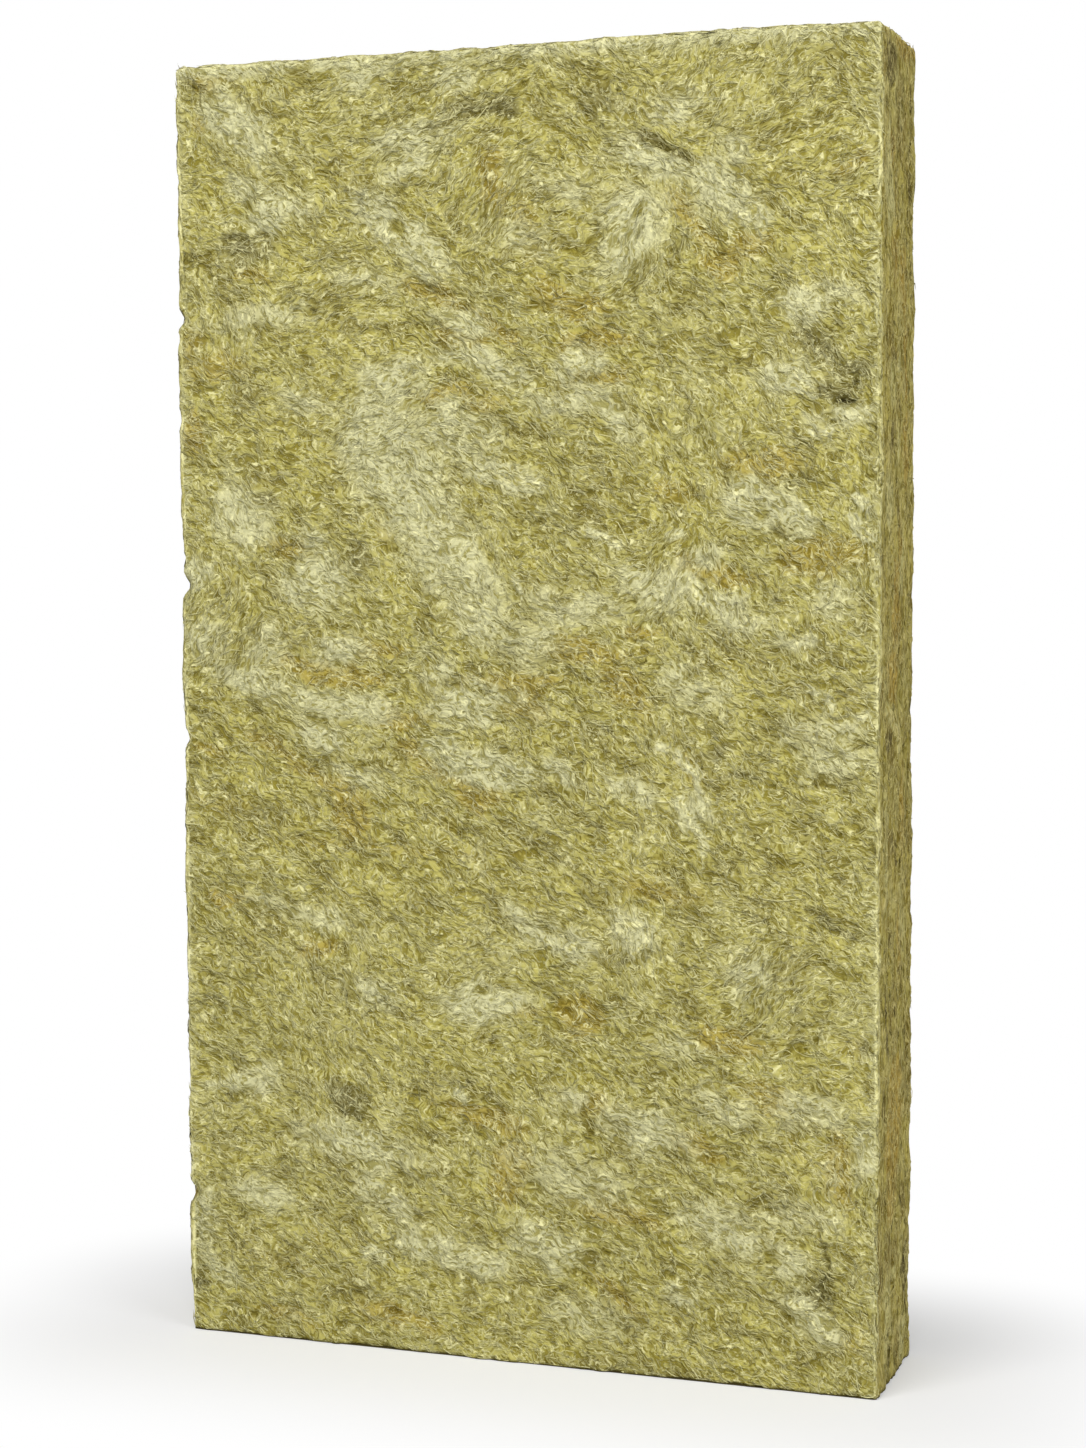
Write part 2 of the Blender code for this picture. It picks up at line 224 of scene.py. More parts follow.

# Valleys and raised lips on the photographed face: points in millimetres, half width, how
# deep (negative for raised), then how much painted shade darkens it, how ochre it is, and how
# pale it is along the line, which on a raised lip goes on into a painted highlight.
LINES = (
    (((-84, 825), (-62, 820), (-41, 807), (-22, 796), (0, 783)), 4, 1.6, 0.5, 0.7, 0),
    (
        ((-222, 480), (-199, 472), (-179, 455), (-150, 441), (-138, 434), (-136, 402)),
        4, 1.5, 0.5, 0.6, 0,
    ),
    (((-140, 397), (-118, 396), (-35, 392), (20, 397)), 3, 0.8, 0.3, 0.3, 0),
    (((-75, 460), (-45, 452), (-31, 442)), 4, 1.4, 0.5, 0.8, 0),
    (((102, 926), (115, 921), (137, 911)), 4, 2.2, 1.0, 0.2, 0),
    (((-104, 892), (-85, 902), (-66, 908)), 3, 1.4, 0.7, 0.1, 0),
    (((127, 878), (140, 868), (150, 852)), 3, 1.2, 0.4, 0.6, 0),
    (((193, 947), (208, 957)), 2, 1.2, 0.9, 0, 0),
    (((149, 975), (160, 989)), 2, 1.0, 0.7, 0, 0),
    (((226, 363), (245, 347), (268, 344)), 4, 1.6, 0.8, 0.1, 0),
    (((-108, 278), (-133, 258), (-143, 249)), 2, 1.2, 0.8, 0, 0),
    (((-170, 292), (-155, 268), (-143, 249)), 3, 1.2, 0.4, 0.1, 0),
    (((-52, 194), (-27, 190), (-8, 180)), 4, 1.2, 0.4, 0.7, 0),
    (((242, 112), (244, 92), (236, 77), (216, 72)), 3, 2.4, 1.0, 0.1, 0),
    (((236, 77), (248, 62), (263, 57)), 3, 2.0, 0.9, 0, 0),
    (((-147, 318), (-143, 306)), 3, 1.4, 1.0, 0, 0),
    (((42, 748), (60, 751), (84, 755)), 4, 1.3, 0.5, 0.7, 0),
    (((-190, 540), (-167, 531), (-140, 529), (-112, 526)), 4, 1.1, 0.4, 0.7, 0),
    (((-66, 943), (-52, 948), (-38, 951), (-4, 954)), 4, 1.8, 0.9, 0, 0),
    (((134, 617), (160, 611), (174, 603)), 4, 1.2, 0.4, 0.7, 0),
    (((75, 540), (85, 525), (98, 511)), 7, 1.2, 0.5, 0.4, 0),
    (((-242, 866), (-222, 867), (-203, 869)), 4, 1.8, 1.0, 0, 0),
    (((-236, 857), (-215, 855)), 3, 1.4, 0.8, 0, 0),
    (((249, 895), (265, 903)), 3, 1.3, 0.7, 0.2, 0),
    (((218, 792), (235, 773), (250, 760), (264, 746)), 5, 1.6, 0.7, 0, 0),
    (((-58, 787), (-38, 783)), 4, 1.2, 0.4, 0.8, 0),
    (((-126, 272), (-100, 272)), 2, 1.0, 0.5, 0, 0),
    (((-90, 68), (-60, 66), (-30, 63)), 2, 0.9, 0.4, 0.1, 0),
    (((262, 576), (267, 554)), 3, 1.3, 0.7, 0, 0),
    (((112, 56), (118, 62), (128, 66)), 3, 1.3, 0.8, 0, 0),
    (((-22, 512), (0, 506), (18, 503)), 4, 1.3, 0.4, 0.8, 0),
    (((-280, 37), (-266, 36)), 3, 1.4, 0.9, 0, 0),
    (((-122, 742), (-90, 737), (-78, 745)), 3, 1.1, 0.4, 0.3, 0),
    (((-130, 650), (-128, 690), (-134, 730)), 4, 1.1, 0.3, 0.2, 0),
    (((111, 479), (124, 475), (135, 464), (146, 456)), 3, -2.2, 0, 0.1, 0.9),
    (((144, 455), (146, 446)), 3, -1.6, 0, 0.4, 0.5),
    (((131, 438), (135, 427), (143, 417), (150, 404)), 3, -1.8, 0, 0, 1.0),
    (((60, 637), (72, 634), (83, 628)), 3, -1.7, 0, 0, 1.0),
    (((-16, 681), (0, 677), (20, 672)), 4, -1.6, 0, 0, 1.0),
    (((138, 605), (141, 592), (150, 586)), 3, -1.5, 0, 0, 0.9),
    (((222, 741), (232, 737), (240, 743)), 3, -1.8, 0, 0, 0.9),
    (((231, 712), (238, 704), (244, 712)), 3, -1.6, 0, 0, 0.9),
    (((230, 522), (241, 518), (248, 511)), 3, -1.6, 0, 0, 0.9),
    (((-129, 74), (-120, 79), (-113, 71)), 3, -1.4, 0, 0, 0.8),
    (((262, 663), (270, 655)), 3, -1.8, 0, 0, 0.9),
    (((259, 649), (266, 637), (276, 632)), 3, -1.8, 0, 0, 0.9),
    (((171, 872), (180, 868), (188, 873)), 3, -1.4, 0, 0, 1.0),
    (((262, 502), (274, 505)), 3, -1.6, 0, 0, 0.9),
    (((-52, 207), (-42, 202)), 3, -1.3, 0, 0, 0.7),
    (((122, 634), (130, 637)), 3, -1.4, 0, 0, 0.8),
    (((-1, 604), (5, 592)), 2, -1.5, 0, 0, 0.9),
    (
        ((80, 343), (95, 347), (108, 342), (103, 330), (93, 321), (88, 331), (81, 342)),
        2.4, -1.6, 0, 0, 1.0,
    ),
    (((20, 330), (40, 322), (52, 332)), 3, -1.0, 0, 0, 0.8),
    (((216, 66), (228, 63), (236, 50), (246, 44)), 4, -1.6, 0, 0, 0.9),
)

# The same kinds of places on the right cut edge: millimetres back from the middle, and up.
EDGE_PALE = (
    (-28, 880, 26, 12, 90, 0.8), (-18, 752, 20, 14, 90, 0.6), (-30, 656, 20, 12, 90, 0.9),
    (1, 79, 6, 5, 0, 1.0), (-40, 905, 40, 6, 90, 0.6), (20, 610, 40, 10, 90, 0.5),
    (-36, 400, 60, 8, 90, 0.5), (25, 350, 50, 14, 90, 0.4), (-20, 50, 50, 16, 90, 0.5),
    (30, 20, 24, 14, 90, 0.6), (10, 945, 24, 10, 90, 0.4), (-2, 700, 26, 6, 90, 0.5),
    (6, 765, 18, 4, 90, 0.8),
)
EDGE_OCHRE = (
    (28, 994, 34, 9, 0, 1.0), (-28, 914, 15, 10, 90, 1.0), (20, 822, 30, 12, 90, 0.7),
    (24, 764, 26, 5, 90, 1.0), (-2, 582, 26, 10, 90, 0.9), (-15, 530, 22, 16, 90, 0.8),
    (0, 205, 40, 26, 90, 0.8), (-12, 165, 40, 20, 90, 0.9), (20, 430, 40, 12, 90, 0.5),
    (10, 330, 40, 10, 90, 0.4), (30, 700, 30, 8, 90, 0.5), (-10, 840, 30, 12, 90, 0.4),
    (8, 620, 40, 6, 90, 0.4),
)
EDGE_DARK = (
    (-28, 978, 20, 16, 90, 0.9), (-26, 916, 10, 6, 90, 0.8), (4, 650, 18, 5, 90, 0.6),
    (-8, 405, 10, 5, 90, 0.7), (3, 398, 8, 6, 90, 1.0), (-32, 272, 22, 6, 90, 1.0),
    (-22, 335, 12, 5, 90, 0.6), (44, 60, 20, 7, 90, 1.0), (38, 82, 12, 6, 90, 0.8),
    (-26, 484, 14, 10, 90, 0.7), (-20, 715, 30, 5, 90, 0.6), (-38, 215, 20, 6, 90, 0.5),
    (50, 500, 60, 5, 90, 0.4), (-44, 560, 40, 4, 90, 0.4), (10, 120, 30, 6, 90, 0.4),
)
EDGE_LINES = (
    (((45, 968), (46, 930), (44, 880), (45, 850), (47, 800)), 4, 1.8, 0.8, 0.2, 0),
    (((27, 918), (27, 888)), 4, 1.6, 0.7, 0, 0),
    (((0, 895), (4, 872), (6, 850)), 4, 1.2, 0.6, 0, 0),
    (((-34, 507), (-20, 500), (2, 488), (8, 478)), 4, -1.4, 0, 0, 1.0),
    (((-17, 36), (-14, 22), (-12, 12)), 4, 1.6, 0.9, 0, 0),
    (((30, 480), (33, 466)), 4, 1.2, 0.7, 0, 0),
    (((-5, 610), (0, 585), (2, 560)), 3, 1.0, 0.3, 0.9, 0),
)

# Dents torn out of the skin: place, half size, how deep, which way it is pushed, and how much
# painted shade darkens it.
DENTS = (
    ((-0.280, -0.060, 0.807), (0.012, 0.016, 0.0105), 0.0050, (1, 0.4, 0), 0.2),
    ((-0.280, -0.060, 0.598), (0.012, 0.018, 0.0105), 0.0060, (1, 0.4, 0), 0.3),
    ((-0.280, -0.060, 0.477), (0.012, 0.014, 0.0090), 0.0036, (1, 0.4, 0), 0.1),
    ((-0.280, -0.060, 0.112), (0.012, 0.016, 0.0105), 0.0045, (1, 0.4, 0), 0.2),
    ((0.280, 0.026, 0.884), (0.010, 0.0060, 0.0110), 0.0065, (-1, 0, 0), 1.6),
    ((0.280, 0.034, 0.467), (0.010, 0.0065, 0.0120), 0.0065, (-1, 0, 0), 1.6),
    ((0.280, -0.019, 0.287), (0.009, 0.0055, 0.0095), 0.0050, (-1, 0, 0), 1.6),
    ((0.280, 0.003, 0.400), (0.009, 0.0060, 0.0090), 0.0045, (-1, 0, 0), 1.6),
    ((0.254, -0.060, 0.732), (0.0150, 0.008, 0.0040), 0.0050, (0, 1, 0), 1.6),
)

# The painted contact shadow along the foot: its height, its strength, and the least share of the
# height that it keeps.
FOOT_SHADE = 0.0026
FOOT_STRENGTH = 1.2
FOOT_LEAST = 0.3

# The tables that each seen side is drawn from, and what the cut edges and borders add.
SEEN = {
    "front": (PALE_PADS, OCHRE_STAINS, GREY_STAINS, LINES),
    "right": (EDGE_PALE, EDGE_OCHRE, EDGE_DARK, EDGE_LINES),
}
CUT_RISE = 0.0021
CUT_TAPER = 0.85
CUT_START = 0.004
EDGE_STRENGTH = 1.4
# Painted highlights: along the arrises, along the front face's side borders and how far in they
# reach, along its top edge, and how pale the raised lips are, which past the highlight edge is a
# painted highlight.
ARRIS_HIGHLIGHT = 0.55
BORDER_REACH = 0.008
BORDER_HIGHLIGHT = 0.55
TOP_HIGHLIGHT = 1.3
LIP_PALE_AND_HIGHLIGHT = 1.9
# How much deeper the valleys are cut, how much painted shade darkens them, and how much of that
# shade is laid as grey; then how far a line's ochre reaches.
VALLEY_GAIN = 1.3
VALLEY_SHADE = 0.85
VALLEY_GREY = 0.9
OCHRE_REACH = 1.8

# Ragged outlines: how far places are moved, the size of the noise that moves them, its seeds.
RAGGED_PATCH = (0.008, 0.020, (41.3, 57.9))
RAGGED_LINE = (0.0030, 0.011, (71.3, 87.9))
PATCH_STEEPNESS = 1.5

# Loose fibres: share of each side, how many, points along each, length, width, lift, spread of
# their slants, and the seed.
FIBRE_SETS = {
    "front_wool": ({"front": 1.0}, 16400, 4, 0.0115, 0.00115, 0.00005, 0.20, 101),
    "front_curls": ({"front": 1.0}, 10900, 5, 0.0160, 0.00100, 0.00025, 0.34, 102),
    "back_wool": ({"back": 1.0}, 10500, 4, 0.0105, 0.00140, 0.0002, 0.32, 103),
    "edge_wool": (
        {"right": 0.40, "left": 0.36, "top": 0.24}, 8200, 4, 0.0140, 0.0017, 0.0002, 0.34, 104
    ),
}
FIBRE_ROOT = 0.0005
FIBRE_FLATNESS = 0.35
OVERHANG = 0.30
CURVE = (0.13, 0.07)
FLICK = 0.0003
LENGTH_SPREAD = 0.36
LIFT_SPREAD = 0.5
WIDTH_RANGE = (0.6, 1.3)
# The power on each fibre's random tone, which blends it towards the painted highlight colour.
TONE_BIAS = 1.3

# Colours of the wool, in linear values. The two lit colours are painted highlights, and PALE also
# serves as one along the borders and arrises. The three shade colours are multiplied in as painted
# shade: in the combs' gaps, in creases and valleys, and as a contact shadow at the foot and in the
# dents. GREY is also laid along the valleys as painted shade.
OLIVE = (0.425, 0.386, 0.106, 1.0)
STRAW = (0.463, 0.416, 0.098, 1.0)
DEEP_OLIVE = (0.310, 0.272, 0.064, 1.0)
PALE = (0.600, 0.580, 0.318, 1.0)
OCHRE = (0.385, 0.302, 0.046, 1.0)
GREY = (0.225, 0.202, 0.074, 1.0)
LIT_FELT = (0.860, 0.822, 0.430, 1.0)
CUT_OLIVE = (0.348, 0.292, 0.056, 1.0)
CUT_STRAW = (0.410, 0.340, 0.070, 1.0)
CUT_BROWN = (0.240, 0.184, 0.032, 1.0)
CUT_OCHRE = (0.385, 0.268, 0.040, 1.0)
CUT_PALE = (0.530, 0.490, 0.200, 1.0)
CUT_DARK = (0.110, 0.085, 0.020, 1.0)
LIT_CUT = (0.640, 0.560, 0.220, 1.0)
SHADE = (0.51, 0.478, 0.26, 1.0)
CREASE_SHADE = (0.58, 0.54, 0.27, 1.0)
HOLLOW_SHADE = (0.10, 0.085, 0.05, 1.0)

# The combed look: ridges for each metre across, how drawn out they are, and detail.
BROAD_COMB = (52.0, 2.2, 1.6)
COARSE_COMB = (200.0, 3.0, 1.0)
FINE_COMB = (520.0, 5.0, 1.5)
BUMP_HEIGHT = 0.0027
FIBRE_SOFTNESS = 0.55
# Thin strands along the combs take a painted highlight: their widths, and where the small noise lets
# them show.
STRAND_WIDTHS = (0.042, 0.034)
STRAND_PLACES = (0.35, 0.60)
RIDGE_HEIGHTS = (2.2, 0.7, 0.25)
CUT_GRAIN = (0.30, 1.0, 0.30)
CUT_COMB = (0.60, 0.60, 0.80)
COMB_SLANTS = (-30.0, 60.0, 15.0, -75.0)

# Noise that moves the comb: ripples for each metre, and how far. Then the slow and the small
# noise: ripples for each metre, detail, roughness and distortion.
COMB_WANDER = ((42.0, 0.024), (150.0, 0.0060))
SLOW_NOISE = (15.0, 3.0, 0.55, 0.6)
SMALL_NOISE = (190.0, 2.0, 0.6, 0.3)

# Where each colour starts and where it is full, as values of its field or noise.
STRAW_EDGE = (0.38, 0.62)
DEEP_EDGE = (0.02, -0.14)
OCHRE_EDGE = (0.12, 0.64)
PALE_EDGE = (0.10, 0.80)
# Past this edge the pale field turns into the painted highlight colour.
HIGHLIGHT_EDGE = (1.0, 1.6)
GREY_EDGE = (0.20, 0.95)
ARRIS_EDGE = (0.10, 0.25)
# Past these edges the combs' gaps take painted shade, and low places painted crease shade.
COARSE_GAP = (0.0, -0.16)
FINE_GAP = (0.0, -0.13)
CREASE_EDGE = (0.42, 1.0)
PATCH_ROUGHNESS = (0.8, 0.22)
TUFT_PALE = 0.15
# How far the painted highlight colour is blended in, and how much painted shade the coarse comb's
# gaps take.
LIT_SHARE = 0.75
COARSE_SHARE = 0.95

# Light: a soft lamp above and to the left, one low on the right, and an even room.
KEY_LAMP = ((-0.3, -3.6, 4.5), (5.0, 1.8), 264.0)
SIDE_LAMP = ((3.0, -1.6, 1.6), (1.6, 1.6), 38.0)
LAMP_AIM = (0.0, 0.0, 0.5)
ROOM_LIGHT = 0.28
FLOOR_SIZE = 14.0
FLOOR_LEVEL = -0.0003
FLOOR_COLOUR = (0.85, 0.85, 0.85, 1.0)
FLOOR_GLOW = (0.265, 0.98)
FLOOR_FADE = (0.02, 0.26)

# Where the photograph was taken from, found by fitting its view to the slab's corners.
PHOTO_SIZE = (1086, 1448)
CAMERA_PLACE = Vector((0.717, -1.985, 0.636))
CAMERA_TURN = math.radians(-19.84)
CAMERA_TILT = math.radians(-3.97)
CAMERA_ROLL = math.radians(-0.25)
FOCAL_PIXELS = 2717.4
SENSOR = 36.0

rng = np.random.default_rng(20)
SLOPES = rng.normal(size=(256, 3))
SLOPES /= np.linalg.norm(SLOPES, axis=1, keepdims=True)
SHUFFLE = rng.permutation(256)


def smooth_noise(places):
    """Gradient noise: at each corner of a unit cell a random slope times the distance to it,
    blended with a quintic ease. About -1 to 1, and 0 on average."""
    cell = np.floor(places).astype(int)
    inside = places - cell
    ease = inside**3 * (inside * (inside * 6 - 15) + 10)
    total = np.zeros(len(places))
    for corner in np.ndindex(2, 2, 2):
        x, y, z = ((cell + corner) & 255).T
        slope = SLOPES[SHUFFLE[(SHUFFLE[(SHUFFLE[x] + y) & 255] + z) & 255]]
        weight = np.prod(np.where(corner, ease, 1 - ease), axis=1)
        total += weight * np.einsum("ij,ij->i", slope, inside - corner)
    return total * 1.7


def flat_noise(a, b, size, seed):
    """Smooth noise over a plane, with features of the given size."""
    flat = np.stack([a.ravel() / size, b.ravel() / size, np.full(a.size, seed)], -1)
    return smooth_noise(flat).reshape(a.shape)


class SideMap:
    """Values on an even raster over one side of the slab, read by straight blending."""

    def __init__(self, name):
        self.axis, self.way, self.first, self.second = SIDES[name]
        self.low = LOW[[self.first, self.second]]
        self.span = HIGH[[self.first, self.second]] - self.low
        self.shape = tuple(int(round(s / RASTER_STEP)) + 1 for s in self.span)
        self.step = self.span / (np.array(self.shape) - 1)
        self.a, self.b = np.meshgrid(
            self.low[0] + self.step[0] * np.arange(self.shape[0]),
            self.low[1] + self.step[1] * np.arange(self.shape[1]),
            indexing="ij",
        )
        self.values = {}

    def read(self, name, points):
        grid = self.values[name]
        i = np.clip((points[:, self.first] - self.low[0]) / self.step[0], 0, grid.shape[0] - 1.001)
        j = np.clip((points[:, self.second] - self.low[1]) / self.step[1], 0, grid.shape[1] - 1.001)
        i0, j0 = i.astype(int), j.astype(int)
        s, t = i - i0, j - j0
        low = grid[i0, j0] * (1 - s) + grid[i0 + 1, j0] * s
        high = grid[i0, j0 + 1] * (1 - s) + grid[i0 + 1, j0 + 1] * s
        return low * (1 - t) + high * t


def noisy_grain(a, b, seed):
    """A steady slant, plus slow and quick swings of smooth noise."""
    slow = flat_noise(a, b, GRAIN_SWING_LENGTH, seed + 0.3)
    quick = flat_noise(a, b, GRAIN_SWING_LENGTH / 3, seed + 5.7)
    return GRAIN_ANGLE + GRAIN_SWING * (slow + 0.5 * quick)


def guided_grain(a, b):
    """The mean of the guides' slants at each place, as doubled angles so that opposite ends of
    a fibre agree, each guide weighted by a bell curve of its distance."""
    cosine = np.full_like(a, FAINT)
    sine = np.zeros_like(a)
    for x, z, degrees in GRAIN_GUIDES:
        away = (a - x * MILLIMETRE) ** 2 + (b - z * MILLIMETRE) ** 2
        weight = np.exp(-away / GUIDE_REACH**2)
        cosine += weight * math.cos(2 * math.radians(degrees))
        sine += weight * math.sin(2 * math.radians(degrees))
    quick = flat_noise(a, b, GRAIN_SWING_LENGTH / 3, 5.7)
    return np.arctan2(sine, cosine) / 2 + GUIDE_SWING * quick


def spline_weights(places, low, high, count):
    """Weights of evenly spaced knots for each place, from the cubic B-spline bump."""
    knots = np.arange(count)[None, :]
    away = np.abs((places[:, None] - low) / (high - low) * (count - 1) - knots)
    near = 2 / 3 - away**2 + away**3 / 2
    far = np.clip(2 - away, 0, None) ** 3 / 6
    weights = np.where(away < 1, near, far)
    return weights / weights.sum(axis=1, keepdims=True)


def read_form(side):
    """Depth of the solid's skin below its box: rays are shot at the solid from a coarse
    lattice, and a cubic B-spline sheet is pulled over the depths that they find."""
    rows = []
    for axis in (side.first, side.second):
        step = RAY_STEP_THROUGH if axis == 1 else RAY_STEP
        span = HIGH[axis] - LOW[axis] - 2 * RAY_INSET
        rows.append(np.linspace(LOW[axis] + RAY_INSET, HIGH[axis] - RAY_INSET, int(span / step) + 2))
    wall = HIGH[side.axis] if side.way > 0 else LOW[side.axis]
    heading = Vector((0.0, 0.0, 0.0))
    heading[side.axis] = -side.way
    depths = np.zeros((len(rows[0]), len(rows[1])))
    for a, b in np.ndindex(depths.shape):
        start = Vector((0.0, 0.0, 0.0))
        start[side.axis] = wall + side.way * RAY_START
        start[side.first] = rows[0][a]
        start[side.second] = rows[1][b]
        hit, place, _, _ = slab_node.ray_cast(start, heading)
        depths[a, b] = side.way * (wall - place[side.axis]) if hit else 0.0
    lines = (side.a[:, 0], side.b[0])
    weights = [spline_weights(at, row[0], row[-1], len(row)) for at, row in zip(lines, rows)]
    return weights[0] @ depths @ weights[1].T


def lay_tufts(side, grain, spread, sizes, seed):
    """Overlapping tufts: each is a bent ellipse whose height is the square root of one less
    the squared distance, and the highest tuft at each place wins. Returns the heights of all
    the sizes together, and the winners' own random tones."""
    draw = np.random.default_rng(seed)
    height = np.zeros(side.shape)
    tone = np.zeros(side.shape)
    for half_length, half_width, rise, cover in sizes:
        count = int(cover * side.span.prod() / (4 * half_length * half_width))
        i = draw.integers(0, side.shape[0], count)
        j = draw.integers(0, side.shape[1], count)
        angle = grain[i, j] + draw.normal(0, spread, count)
        bend = TUFT_BEND * draw.normal(0, 1, count) / half_length
        level = draw.uniform(0.45, 1.0, count)[:, None, None]
        mark = draw.uniform(0.0, 1.0, count)[:, None, None]
        reach = int(half_length / RASTER_STEP) + 1
        offsets = np.arange(-reach, reach + 1)
        ii = i[:, None, None] + offsets[None, :, None]
        jj = j[:, None, None] + offsets[None, None, :]
        da, db = offsets[None, :, None] * RASTER_STEP, offsets[None, None, :] * RASTER_STEP
        cosine, sine = np.cos(angle)[:, None, None], np.sin(angle)[:, None, None]
        along = da * cosine + db * sine
        across = db * cosine - da * sine - bend[:, None, None] * along**2
        left = 1 - (along / half_length) ** 2 - (across / half_width) ** 2
        inside = (left > 0) & (ii >= 0) & (ii < side.shape[0]) & (jj >= 0) & (jj < side.shape[1])
        dome = (level * np.sqrt(np.clip(left, 0, None)))[inside]
        cells = (ii * side.shape[1] + jj)[inside]
        marks = np.broadcast_to(mark, left.shape)[inside]
        order = np.argsort(dome)
        layer = np.zeros(side.shape)
        winners = np.full(side.shape, 0.5)
        layer.flat[cells[order]] = dome[order]
        winners.flat[cells[order]] = marks[order]
        height += rise * layer
        tone += winners / len(sizes)
    return height, tone


def ragged_places(side, reach, size, seeds):
    """The places of a side, moved by noise along both axes, so that what is drawn at them has
    ragged outlines."""
    return (
        line + reach * flat_noise(side.a, side.b, size, seed)
        for line, seed in zip((side.a, side.b), seeds)
    )


def patch_field(side, patches, spread=1.0):
    """Soft ragged ellipses, each a bell curve of the distance in its own turned axes."""
    a, b = ragged_places(side, *RAGGED_PATCH)
    total = np.zeros(side.shape)
    for x, z, long, wide, slant, strength in patches:
        turn = math.radians(slant)
        da = a - x * MILLIMETRE
        db = b - z * MILLIMETRE
        along = (da * math.cos(turn) + db * math.sin(turn)) / (spread * long * MILLIMETRE)
        across = (db * math.cos(turn) - da * math.sin(turn)) / (spread * wide * MILLIMETRE)
        total = np.maximum(total, strength * np.exp(-((along**2 + across**2) ** PATCH_STEEPNESS)))
    return total


def line_fields(side, table):
    """Depth, painted shade and colours of the ragged valleys and lips: each is a bell curve of the
    distance to the nearest stretch of its line. The valleys' grey is painted shade, and the
    lips' pale later turns into a painted highlight on them."""
    fields = {key: np.zeros(side.shape) for key in ("depth", "grey", "ochre", "pale")}
    a, b = ragged_places(side, *RAGGED_LINE)
    for points, wide, deep, dark, ochre, pale in table:
        nearest = np.full(side.shape, np.inf)
        for start, end in zip(points[:-1], points[1:]):
            start, end = np.array(start) * MILLIMETRE, np.array(end) * MILLIMETRE
            run = end - start
            t = np.clip(((a - start[0]) * run[0] + (b - start[1]) * run[1]) / (run @ run), 0, 1)
            away = (a - start[0] - t * run[0]) ** 2 + (b - start[1] - t * run[1]) ** 2
            nearest = np.minimum(nearest, away)
        bell = np.exp(-nearest / (wide * MILLIMETRE) ** 2)
        wider = np.exp(-nearest / (OCHRE_REACH * wide * MILLIMETRE) ** 2)
        fields["depth"] += (VALLEY_GAIN if deep > 0 else 1.0) * deep * MILLIMETRE * bell
        fields["grey"] = np.maximum(fields["grey"], VALLEY_SHADE * dark * bell)
        fields["ochre"] = np.maximum(fields["ochre"], ochre * wider)
        fields["pale"] = np.maximum(fields["pale"], pale * bell)
    return fields


def blotches(side, size, seed, gain, shift):
    """Soft blotches: noise of one size and of a third of it, scaled and held between 0 and 1."""
    total = flat_noise(side.a, side.b, size, seed)
    total += 0.45 * flat_noise(side.a, side.b, size / 3, seed + 9)
    return np.clip(gain * total + shift, 0, 1)


def draw_side(name, number):
    """All the maps of one side: how deep the skin lies below its box, and its colours."""
    side = SideMap(name)
    seed = 13.0 * number
    if name == "front":
        grain = guided_grain(side.a, side.b)
    elif name == "back":
        grain = noisy_grain(side.a, side.b, seed)
    else:
        along = 0.0 if name == "top" else math.pi / 2
        grain = along + CUT_SWING * flat_noise(side.a, side.b, CUT_SWING_LENGTH, seed)
    spread, sizes = (FELT_SPREAD, FELT_TUFTS) if name in FELTED else (CUT_SPREAD, CUT_TUFTS)
    tufts, tone = lay_tufts(side, grain, spread, sizes, number)
    pale, ochre, grey = (
        blotches(side, size, seed + own_seed, gain, shift)
        for size, own_seed, gain, shift in BLOTCHES
    )
    depth = TUFT_LEVEL * tufts.max() - tufts
    # How low the skin lies between the tufts, for the painted crease shade.
    low = np.clip(depth / LOW_DEPTH, 0, 1)
    if name in SEEN:
        pads, stains, darks, table = SEEN[name]
        lines = line_fields(side, table)
        spread = PATCH_SPREAD if name == "front" else 1.0
        pads = patch_field(side, pads, spread)
        stains = patch_field(side, stains, spread)
        if name == "front":
            # Painted highlight along the face's side borders and its top edge; these places also
            # rise a little.
            to_sides, to_top = HIGH[0] - np.abs(side.a), HIGH[2] - side.b
            for to_border, strength in ((to_sides, BORDER_HIGHLIGHT), (to_top, TOP_HIGHLIGHT)):
                pads = np.maximum(pads, strength * np.exp(-to_border / BORDER_REACH))
            depth -= PAD_RISE * np.clip(PAD_EDGE[0] * pads - PAD_EDGE[1], 0, 1)
        depth += lines["depth"]
        # Raised lips are paler, and past the highlight edge they take a painted highlight.
        pale = np.maximum(np.maximum(CHANCE_SHARE * pale, pads), LIP_PALE_AND_HIGHLIGHT * lines["pale"])
        ochre = np.maximum(CHANCE_SHARE * ochre, np.maximum(stains, lines["ochre"]))
        # Grey stains, and painted shade along the valleys.
        grey = np.maximum(patch_field(side, darks), VALLEY_GREY * lines["grey"])
        if name != "front":
            pale, ochre, grey = (EDGE_STRENGTH * field for field in (pale, ochre, grey))
        # The valleys' painted shade also deepens the painted crease shade.
        low = np.maximum(low, lines["grey"])
    # Painted highlight on the top side along its front arris.
    if name == "top":
        pale = np.maximum(pale, TOP_HIGHLIGHT * np.exp(-(side.b - LOW[1]) / BORDER_REACH))
    side.values = {
        "depth": read_form(side) + depth, "grain": grain, "tuft": tone, "low": low,
        "pale": pale, "ochre": ochre, "grey": grey,
        "flow_cosine": np.cos(2 * grain), "flow_sine": np.sin(2 * grain),
    }
    return side


def round_arrises(points):
    """Rounds the box: each point goes out from the nearest place of a smaller box, by the
    radius. Returns the points and the way out at each."""
    inner = LOW + ARRIS_RADIUS
    inner[2] = LOW[2] + BASE_RADIUS
    core = np.clip(points, inner, HIGH - ARRIS_RADIUS)
    out = points - core
    out /= np.linalg.norm(out, axis=1, keepdims=True) + TINY
    return core + ARRIS_RADIUS * out, out


def cut_share(plain):
    """How far the look of a cut edge has set in: none at the broad faces, all a little inside."""
    return np.clip((HIGH[1] - np.abs(plain[:, 1])) / CUT_START, 0, 1)


